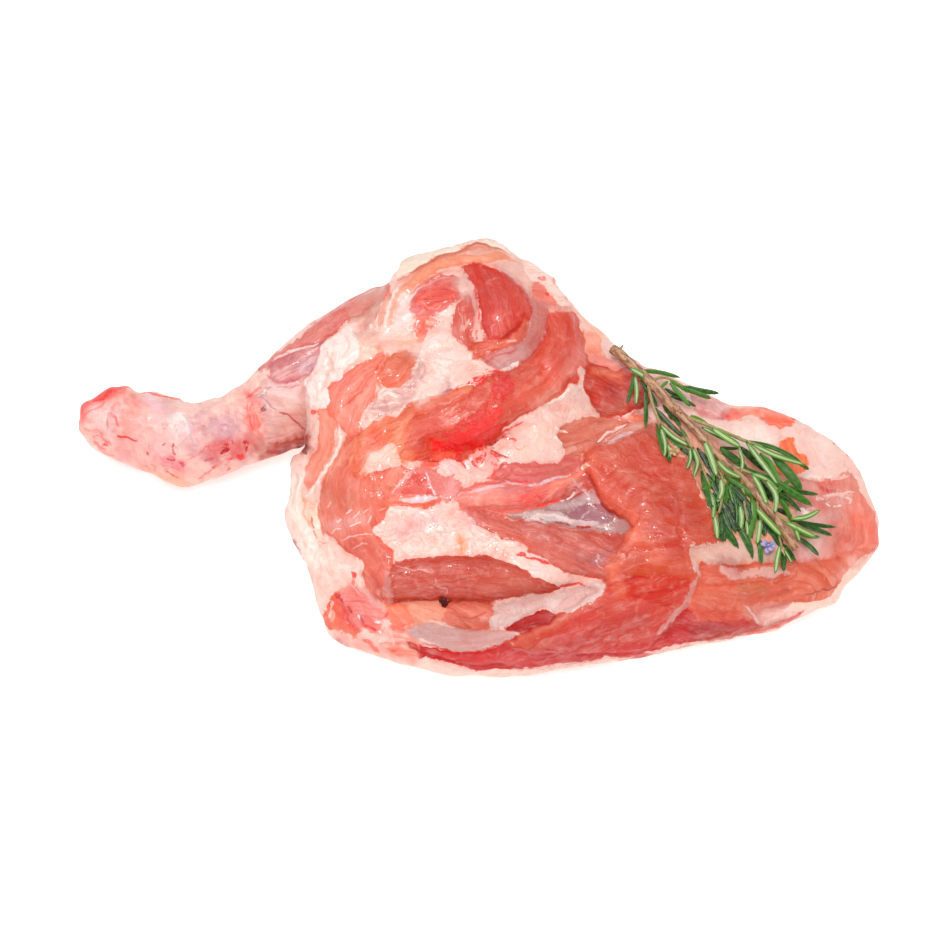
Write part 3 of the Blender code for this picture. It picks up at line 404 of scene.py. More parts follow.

# Soft changes of colour over what the patches give, in the order that they are laid on; a few are painted
# shade.
STROKES = (
    # The shank's knuckle, its cut end and its blood.
    Stroke((254, 231, 212), 0.75, 7, 94, 420, 104, 416),
    Stroke((250, 151, 111), 0.5, 4, 84, 434, 92, 438),
    Stroke((228, 183, 184), 0.8, 26, 100, 420, 150, 430, 190, 440, 230, 440),
    Stroke((255, 100, 88), 0.85, 9, 84, 420, 86, 404, 100, 396, 118, 388),
    Stroke((246, 64, 62), 0.7, 5, 83, 412, 90, 400, 104, 394, 117, 388),
    Stroke((249, 202, 199), 0.8, 11, 97, 414),
    Stroke((247, 123, 104), 0.55, 12, 132, 400, 128, 430),
    Stroke((250, 185, 175), 0.7, 10, 140, 430, 160, 432),
    Stroke((233, 133, 129), 0.5, 14, 120, 452, 150, 464, 180, 472),
    Stroke((244, 183, 150), 0.6, 8, 150, 476, 170, 482, 192, 484),
    Stroke((204, 126, 136), 0.55, 12, 205, 455, 235, 448),
    Stroke((217, 94, 91), 0.6, 10, 224, 452, 240, 446, 256, 436),
    Stroke((251, 203, 191), 0.6, 12, 215, 400, 240, 392),
    Stroke((237, 175, 181), 0.6, 6, 148, 401, 164, 404),
    Stroke((196, 138, 145), 0.6, 11, 206, 424, 236, 424),
    Stroke((239, 132, 124), 0.6, 8, 244, 392, 252, 404, 258, 424),
    Stroke((227, 64, 62), 0.6, 4, 250, 396, 256, 404),
    Stroke((240, 222, 220), 0.7, 8, 280, 392, 300, 398),
    Stroke((218, 142, 119), 0.5, 10, 290, 425, 300, 412),
    # Painted shade under the shank's joint.
    Stroke((200, 113, 101), 0.6, 9, 262, 447, 280, 448, 300, 446),
    Stroke((191, 95, 107), 0.45, 7, 290, 362, 308, 366),
    Stroke((232, 228, 242), 0.5, 7, 304, 370, 316, 362),
    Stroke((230, 134, 146), 0.6, 6, 166, 460, 178, 466),
    Stroke((206, 161, 176), 0.55, 9, 218, 424, 232, 432),
    Stroke((244, 126, 117), 0.55, 8, 248, 408, 256, 424),
    Stroke((224, 116, 115), 0.6, 8, 212, 450, 228, 450, 242, 446),
    Stroke((215, 66, 62), 0.7, 4, 126, 402),
    Stroke((250, 217, 228), 0.7, 5, 152, 398, 159, 405),
    # Painted shade under the shank's joint, darkest in the notch.
    Stroke((190, 80, 68), 0.75, 8, 268, 451, 286, 447, 304, 441),
    Stroke((186, 76, 62), 0.75, 6, 264, 457, 278, 454, 290, 451),
    Stroke((150, 40, 32), 0.85, 5, 286, 451, 296, 449, 305, 446),
    # The elbow.
    Stroke((213, 132, 120), 0.45, 7, 356, 310, 372, 318),
    Stroke((226, 111, 98), 0.5, 6, 300, 340, 330, 316, 352, 302),
    Stroke((249, 232, 229), 0.75, 10, 402, 300, 400, 325),
    Stroke((248, 195, 175), 0.6, 8, 398, 335, 410, 345),
    Stroke((223, 191, 182), 0.7, 9, 462, 282, 466, 292),
    Stroke((221, 81, 70), 0.6, 6, 432, 300, 444, 296),
    Stroke((240, 119, 102), 0.5, 5, 430, 286, 448, 282),
    Stroke((239, 195, 186), 0.6, 8, 440, 320, 448, 330),
    Stroke((200, 62, 61), 0.55, 8, 490, 290, 498, 306),
    Stroke((203, 67, 63), 0.5, 6, 486, 322, 492, 334),
    Stroke((213, 86, 69), 0.45, 6, 512, 290, 522, 300),
    Stroke((196, 68, 63), 0.5, 6, 470, 312, 474, 300),
    Stroke((215, 180, 176), 0.7, 8, 520, 352, 506, 362),
    Stroke((216, 140, 128), 0.5, 6, 540, 312, 540, 330),
    # The arm's muscle.
    Stroke((252, 170, 128), 0.6, 4, 399, 434, 397, 446, 402, 456),
    Stroke((218, 90, 69), 0.7, 8, 422, 418, 433, 409, 446, 402),
    Stroke((240, 140, 106), 0.7, 9, 402, 428, 402, 444, 410, 456),
    Stroke((215, 80, 64), 0.55, 9, 560, 318, 566, 340, 562, 360),
    Stroke((232, 141, 132), 0.6, 8, 576, 350, 570, 372),
    Stroke((238, 121, 102), 0.5, 10, 540, 385, 520, 400),
    Stroke((255, 194, 171), 0.35, 7, 556, 394, 540, 402),
    Stroke((219, 92, 71), 0.6, 9, 428, 414, 444, 409, 460, 403),
    Stroke((208, 74, 62), 0.5, 10, 430, 430, 415, 445),
    # The muscles on the left.
    Stroke((245, 133, 122), 0.6, 8, 350, 378, 338, 392),
    Stroke((244, 115, 93), 0.5, 6, 376, 366, 362, 384),
    Stroke((226, 126, 101), 0.5, 6, 352, 402, 358, 420),
    Stroke((255, 180, 155), 0.6, 8, 340, 450, 326, 470),
    Stroke((213, 115, 90), 0.55, 9, 330, 492, 345, 500, 360, 508),
    Stroke((234, 114, 85), 0.55, 8, 352, 462, 372, 480, 396, 488),
    Stroke((232, 172, 166), 0.55, 8, 336, 524, 352, 524, 366, 516),
    Stroke((205, 78, 67), 0.55, 8, 352, 544, 372, 548, 382, 560),
    Stroke((195, 63, 62), 0.5, 8, 376, 578, 380, 592),
    Stroke((246, 109, 84), 0.6, 8, 366, 440, 378, 436),
    # The fat in the middle.
    Stroke((255, 233, 224), 0.7, 8, 440, 352, 443, 368, 434, 384, 420, 396),
    Stroke((254, 225, 215), 0.5, 7, 372, 456, 386, 452),
    Stroke((245, 213, 204), 0.8, 9, 444, 352, 444, 376, 424, 396),
    Stroke((245, 201, 185), 0.5, 6, 462, 372, 474, 366),
    Stroke((248, 248, 245), 0.5, 8, 430, 344, 420, 352),
    Stroke((250, 194, 184), 0.6, 10, 455, 540, 420, 536),
    Stroke((248, 166, 169), 0.5, 9, 430, 520, 400, 530),
    Stroke((248, 209, 212), 0.4, 6, 462, 516, 476, 526),
    Stroke((241, 154, 113), 0.6, 4, 460, 535, 464, 548),
    Stroke((247, 220, 210), 0.5, 8, 545, 415, 520, 430),
    Stroke((250, 203, 186), 0.6, 9, 545, 430, 530, 450),
    Stroke((225, 211, 193), 0.5, 4, 572, 412, 590, 408),
    # The left margin.
    Stroke((251, 245, 234), 0.7, 12, 296, 480, 300, 515, 315, 560),
    Stroke((253, 187, 153), 0.5, 6, 306, 500, 312, 520),
    Stroke((247, 236, 225), 0.5, 8, 325, 556, 345, 570),
    Stroke((251, 185, 168), 0.6, 5, 350, 582, 340, 594),
    Stroke((230, 91, 83), 0.65, 6, 340, 604, 352, 614, 372, 626),
    Stroke((243, 153, 143), 0.6, 8, 340, 640, 372, 648, 400, 652),
    Stroke((166, 74, 77), 0.5, 4, 336, 642, 352, 650),
    Stroke((247, 130, 104), 0.6, 8, 392, 646, 410, 656),
    # The lower middle.
    Stroke((193, 69, 63), 0.5, 7, 410, 590, 440, 590, 470, 592),
    Stroke((196, 75, 66), 0.45, 6, 412, 572, 450, 566, 480, 566),
    Stroke((205, 120, 100), 0.45, 7, 500, 580, 530, 586),
    Stroke((220, 62, 62), 0.5, 6, 440, 658, 480, 662, 520, 658),
    Stroke((187, 62, 61), 0.55, 9, 560, 646, 600, 636, 640, 622),
    Stroke((212, 61, 61), 0.7, 6, 600, 652, 640, 648, 690, 634),
    Stroke((214, 62, 61), 0.5, 7, 560, 640, 590, 622),
    # The deep muscles.
    Stroke((159, 61, 61), 0.55, 7, 612, 390, 630, 396),
    Stroke((243, 124, 86), 0.6, 5, 594, 372, 620, 376),
    Stroke((186, 113, 97), 0.55, 6, 598, 410, 618, 408),
    Stroke((223, 118, 97), 0.5, 6, 578, 440, 590, 430),
    Stroke((238, 143, 124), 0.75, 7, 466, 498, 486, 500, 500, 503),
    Stroke((195, 96, 95), 0.55, 4, 500, 491, 530, 489),
    Stroke((251, 71, 65), 0.65, 6, 522, 501, 540, 496),
    Stroke((251, 155, 130), 0.75, 5, 552, 491, 562, 484, 576, 477),
    Stroke((242, 62, 62), 0.85, 3, 514, 482, 524, 483, 529, 482),
    Stroke((212, 127, 116), 0.6, 6, 548, 469, 566, 467, 578, 465),
    Stroke((245, 144, 90), 0.8, 3.4, 459, 536, 463, 543, 461, 552),
    Stroke((173, 86, 84), 0.55, 7, 580, 556, 600, 560),
    Stroke((172, 98, 104), 0.6, 6, 594, 560, 612, 552),
    Stroke((232, 162, 164), 0.65, 7, 450, 482, 450, 492),
    Stroke((221, 103, 82), 0.5, 8, 500, 528, 530, 546),
    Stroke((200, 80, 69), 0.45, 7, 560, 536, 590, 542),
    # The sheet.
    Stroke((240, 113, 86), 0.55, 9, 590, 458, 598, 476, 612, 498, 634, 518, 634, 542),
    Stroke((240, 128, 99), 0.5, 8, 618, 556, 612, 572, 620, 590),
    Stroke((208, 81, 66), 0.6, 14, 600, 478, 620, 496),
    Stroke((180, 69, 62), 0.55, 12, 670, 500, 690, 520),
    Stroke((205, 70, 62), 0.5, 12, 640, 455, 660, 470),
    Stroke((226, 115, 92), 0.5, 9, 640, 540, 655, 556),
    Stroke((216, 95, 75), 0.4, 9, 640, 512, 622, 506),
    Stroke((186, 63, 62), 0.45, 10, 676, 550, 660, 530),
    Stroke((155, 84, 71), 0.45, 8, 650, 430, 664, 436),
    # The right side.
    Stroke((255, 117, 88), 0.5, 7, 868, 520, 872, 540),
    Stroke((218, 78, 62), 0.7, 7, 696, 612, 718, 614, 738, 620),
    Stroke((184, 62, 62), 0.6, 5, 694, 632, 715, 632, 736, 628),
    Stroke((231, 110, 101), 0.6, 6, 826, 486, 838, 484),
    Stroke((223, 107, 97), 0.55, 6, 812, 503, 822, 508),
    Stroke((237, 183, 179), 0.5, 5, 832, 499, 845, 499),
    Stroke((230, 191, 183), 0.6, 5, 826, 520, 834, 514),
    Stroke((206, 87, 69), 0.5, 9, 845, 535, 841, 550),
    Stroke((253, 139, 120), 0.55, 8, 862, 525, 860, 505),
    Stroke((254, 198, 173), 0.6, 10, 750, 410, 735, 402),
    Stroke((254, 237, 226), 0.7, 11, 740, 434, 764, 440),
    Stroke((253, 227, 219), 0.6, 9, 822, 440, 832, 456),
    Stroke((250, 209, 196), 0.45, 8, 830, 450, 840, 464),
    Stroke((240, 107, 88), 0.5, 12, 858, 530, 852, 555),
    Stroke((201, 102, 91), 0.5, 9, 826, 500, 832, 525),
    Stroke((230, 198, 191), 0.6, 9, 806, 518, 818, 532, 812, 550),
    Stroke((251, 207, 193), 0.5, 8, 852, 560, 846, 580),
    Stroke((207, 89, 75), 0.5, 9, 780, 590, 750, 600),
    Stroke((190, 128, 95), 0.45, 7, 745, 586, 762, 592),
    Stroke((171, 61, 61), 0.6, 8, 692, 630, 720, 628),
    Stroke((210, 145, 130), 0.5, 6, 748, 612, 758, 620),
    Stroke((175, 82, 69), 0.6, 5, 700, 640, 740, 634, 790, 620),
    # Painted shade under and between the sprig's lowest leaves.
    Stroke((153, 64, 63), 0.5, 8, 740, 566, 720, 562),
)

# Pale sinews and rims of films, painted glints along the fibres, and painted highlights on the edges of
# folds.
PALE_LINES = (
    Line((246, 210, 208), (390, 496, 398, 487, 405, 479, 412, 471, 418, 468), 0.9, 0.65, 0.3),
    Line((246, 212, 216), (425, 470, 428, 479, 433, 490, 438, 498), 0.9, 0.7, 0.3),
    Line((240, 196, 206), (410, 480, 414, 472), 0.6, 0.5),
    Line((255, 250, 248), (796, 511, 801, 508, 806, 510, 803, 513), 1.6, 0.6, 0.2),
    Line((255, 228, 218), (594, 444, 604, 436, 616, 430, 628, 423), 1.2, 0.8, 0.3),
    Line((228, 206, 214), (606, 444, 616, 438, 628, 434, 634, 432), 1.6, 0.7),
    Line((252, 110, 74), (626, 420, 634, 418, 642, 422), 2.2, 0.8, 0.3),
    Line((255, 244, 238), (470, 458, 468, 464, 472, 470), 1.2, 0.8, 0.3),
    # The next eight: painted highlights on the lighter sides of the sheet's folds.
    Line((250, 170, 150), (655, 470, 662, 478, 670, 482), 0.6, 0.22, 0.4),
    Line((250, 170, 150), (667, 492, 674, 500, 676, 510), 0.6, 0.22, 0.4),
    Line((250, 176, 156), (676, 524, 690, 536, 700, 540), 0.6, 0.22, 0.3),
    Line((250, 170, 150), (650, 530, 664, 532, 678, 540), 0.6, 0.22, 0.3),
    Line((252, 180, 160), (628, 548, 640, 540, 655, 543, 668, 540), 0.6, 0.22, 0.5),
    Line((252, 176, 158), (620, 572, 640, 564, 655, 560), 0.6, 0.22, 0.3),
    Line((250, 170, 150), (610, 500, 622, 508, 636, 512), 0.6, 0.22, 0.3),
    Line((250, 164, 144), (600, 462, 616, 470, 640, 474), 0.6, 0.22, 0.3),
    Line((255, 236, 224), (385, 333, 386, 315, 391, 299, 400, 287), 1.2, 0.7, 0.2),
    Line((255, 228, 214), (377, 330, 378, 312, 382, 300), 1.0, 0.6, 0.2),
    Line((255, 238, 228), (372, 322, 373, 328), 1.6, 0.7, 0.2),
    Line((252, 226, 216), (800, 478, 812, 477, 826, 478, 836, 477), 1.3, 0.8, 0.3),
    Line((252, 220, 212), (820, 496, 832, 494, 845, 494, 856, 492), 1.0, 0.7, 0.2),
    Line((254, 230, 224), (826, 502, 830, 507), 1.1, 0.8, 0.2),
    Line((254, 230, 224), (833, 505, 842, 506), 1.0, 0.8, 0.2),
    Line((254, 224, 216), (845, 497, 851, 501, 849, 505), 0.9, 0.7, 0.2),
    Line((252, 220, 212), (815, 499, 824, 498), 1.1, 0.7),
    Line((255, 250, 248), (374, 623, 379, 622), 1.2, 0.9, 0.2),
    Line((255, 236, 240), (379, 630, 380, 635), 1.0, 0.8, 0.2),
    Line((255, 240, 236), (358, 616, 360, 620), 1.2, 0.8, 0.2),
    Line((250, 200, 204), (389, 632, 393, 640, 391, 646), 1.0, 0.6),
    Line((255, 196, 180), (331, 606, 334, 616, 333, 624), 1.1, 0.5),
    # A painted highlight along the rim of the elbow's bulge, and a painted glint on it.
    Line((255, 170, 160), (417, 299, 424, 304, 432, 307, 440, 307, 449, 301), 0.5, 0.6, 0.2),
    Line((255, 220, 214), (443, 305, 448, 302), 0.9, 0.8, 0.2),
    # A painted glint.
    Line((255, 200, 186), (505, 342, 512, 340, 518, 341), 0.9, 0.6, 0.2),
    Line((250, 200, 190), (470, 318, 466, 326, 462, 332), 0.9, 0.5),
    # The next four: painted glints along the arm's muscle.
    Line((255, 206, 200), (500, 433, 508, 427, 516, 421, 524, 418), 1.0, 0.9, 0.3),
    Line((255, 190, 170), (443, 416, 450, 411, 458, 401), 0.7, 0.45),
    Line((255, 180, 160), (440, 406, 448, 402, 453, 397), 0.6, 0.35),
    Line((255, 190, 176), (455, 422, 464, 416, 470, 410), 0.6, 0.3),
    Line((250, 170, 150), (475, 380, 484, 374, 490, 373), 1.1, 0.7),
    Line((255, 190, 186), (494, 408, 499, 406), 0.8, 0.7),
    Line((255, 236, 230), (474, 454, 471, 460, 474, 467), 1.2, 0.8, 0.3),
    Line((255, 236, 230), (485, 456, 484, 462, 479, 466), 1.2, 0.8, 0.3),
    Line((228, 164, 154), (464, 276, 471, 290, 475, 306, 475, 325, 472, 344), 1.5, 0.65, 0.4),
    Line((214, 150, 140), (480, 316, 481, 330, 485, 343), 0.7, 0.5),
    Line((240, 206, 200), (459, 306, 463, 320, 461, 334), 0.6, 0.4),
    Line((254, 232, 224), (500, 369, 510, 369, 517, 364, 521, 359), 1.6, 0.8, 0.2),
    Line((252, 214, 206), (412, 300, 416, 291, 426, 284, 438, 278, 455, 277), 0.7, 0.35),
    Line((254, 228, 220), (270, 363, 285, 353, 300, 349, 322, 343), 1.2, 0.8, 0.2),
    Line((254, 234, 226), (338, 420, 340, 440, 336, 451, 328, 465, 320, 478, 310, 492, 303, 500), 1.4, 0.8,
        0.3),
    Line((254, 232, 224), (380, 395, 390, 392, 400, 398), 1.4, 0.7),
    Line((250, 220, 214), (376, 404, 392, 402, 402, 404), 1.0, 0.6),
    Line((255, 232, 226), (345, 512, 352, 507), 0.6, 0.7),
    Line((255, 232, 226), (352, 518, 360, 511), 0.6, 0.7),
    Line((255, 232, 226), (362, 515, 370, 508), 0.6, 0.6),
    Line((255, 232, 226), (336, 524, 342, 519), 0.7, 0.7),
    Line((255, 236, 230), (349, 528, 362, 521), 0.7, 0.7),
    Line((255, 232, 226), (366, 524, 374, 517), 0.6, 0.6),
    Line((255, 232, 226), (330, 533, 342, 529), 0.7, 0.7),
    Line((250, 214, 206), (340, 542, 360, 536, 378, 532), 0.6, 0.6),
    Line((250, 206, 196), (352, 549, 370, 542), 0.6, 0.5),
    Line((255, 226, 218), (326, 508, 330, 500), 0.5, 0.5),
    Line((255, 216, 206), (378, 512, 386, 507), 0.6, 0.5),
    Line((244, 196, 190), (392, 564, 406, 569, 420, 571, 434, 574), 0.6, 0.5),
    Line((240, 190, 182), (434, 576, 437, 586, 446, 590, 445, 600), 0.6, 0.4),
    # Two darker creases in the lower muscle: painted shade in them.
    Line((196, 70, 58), (396, 572, 420, 580, 440, 590), 0.8, 0.4, -0.4),
    Line((190, 66, 54), (440, 582, 465, 580, 485, 574), 0.7, 0.35, -0.3),
    Line((246, 200, 190), (425, 623, 432, 620, 440, 622, 455, 630), 1.0, 0.7),
    Line((226, 206, 214), (500, 479, 515, 484, 545, 482, 575, 473), 1.5, 0.8, 0.2),
    Line((232, 206, 214), (465, 492, 484, 489, 505, 485), 1.3, 0.7, 0.2),
    Line((240, 200, 200), (570, 478, 580, 488, 592, 498), 0.9, 0.6),
    Line((246, 214, 208), (522, 519, 545, 515, 568, 519, 600, 524), 1.5, 0.6, 0.2),
    Line((255, 178, 168), (538, 506, 546, 499, 556, 492, 562, 488), 0.9, 0.6),
    Line((222, 172, 168), (566, 490, 575, 486, 586, 483), 1.2, 0.7),
    Line((240, 202, 198), (572, 497, 580, 493, 588, 489), 1.0, 0.7, 0.2),
    # Two painted glints on the sinew.
    Line((255, 250, 246), (566, 499, 572, 496, 576, 494), 0.8, 0.8, 0.3),
    Line((255, 250, 246), (560, 501, 565, 499), 0.6, 0.7, 0.2),
    Line((248, 236, 228), (522, 517, 534, 519, 541, 521), 1.3, 0.8, 0.2),
    Line((222, 190, 184), (580, 518, 586, 513, 590, 509), 0.8, 0.6),
    Line((226, 200, 192), (556, 521, 575, 524, 600, 527, 620, 528), 1.2, 0.5),
    # A painted glint line.
    Line((236, 206, 214), (596, 553, 599, 556, 597, 560, 601, 566, 606, 568), 0.7, 0.45, 0.2),
    Line((255, 240, 232), (546, 404, 556, 399, 566, 391, 569, 384), 0.9, 0.6, 0.2),
    Line((255, 236, 226), (554, 428, 562, 431, 568, 434), 1.2, 0.8),
    Line((255, 236, 226), (553, 437, 558, 440, 563, 447), 1.2, 0.8),
    Line((238, 208, 206), (745, 606, 752, 614, 760, 625), 1.2, 0.6),
    Line((250, 214, 200), (395, 656, 412, 668, 425, 665, 450, 673, 465, 675, 490, 672, 525, 671, 560, 666,
        600, 661, 640, 656), 2.4, 0.75, 0.3),
    Line((252, 216, 200), (640, 655, 680, 648, 720, 643, 760, 634, 800, 622), 3.2, 0.8, 0.2),
    Line((250, 220, 210), (800, 477, 818, 480, 838, 479, 852, 474), 1.4, 0.7, 0.3),
    Line((250, 220, 210), (822, 500, 836, 495, 850, 499), 0.9, 0.5),
    Line((250, 220, 210), (797, 513, 806, 508, 818, 509), 0.9, 0.5),
    Line((246, 180, 160), (586, 403, 592, 407, 598, 411), 1.3, 0.6),
    Line((250, 220, 210), (331, 600, 332, 610, 330, 620), 1.2, 0.6),
)
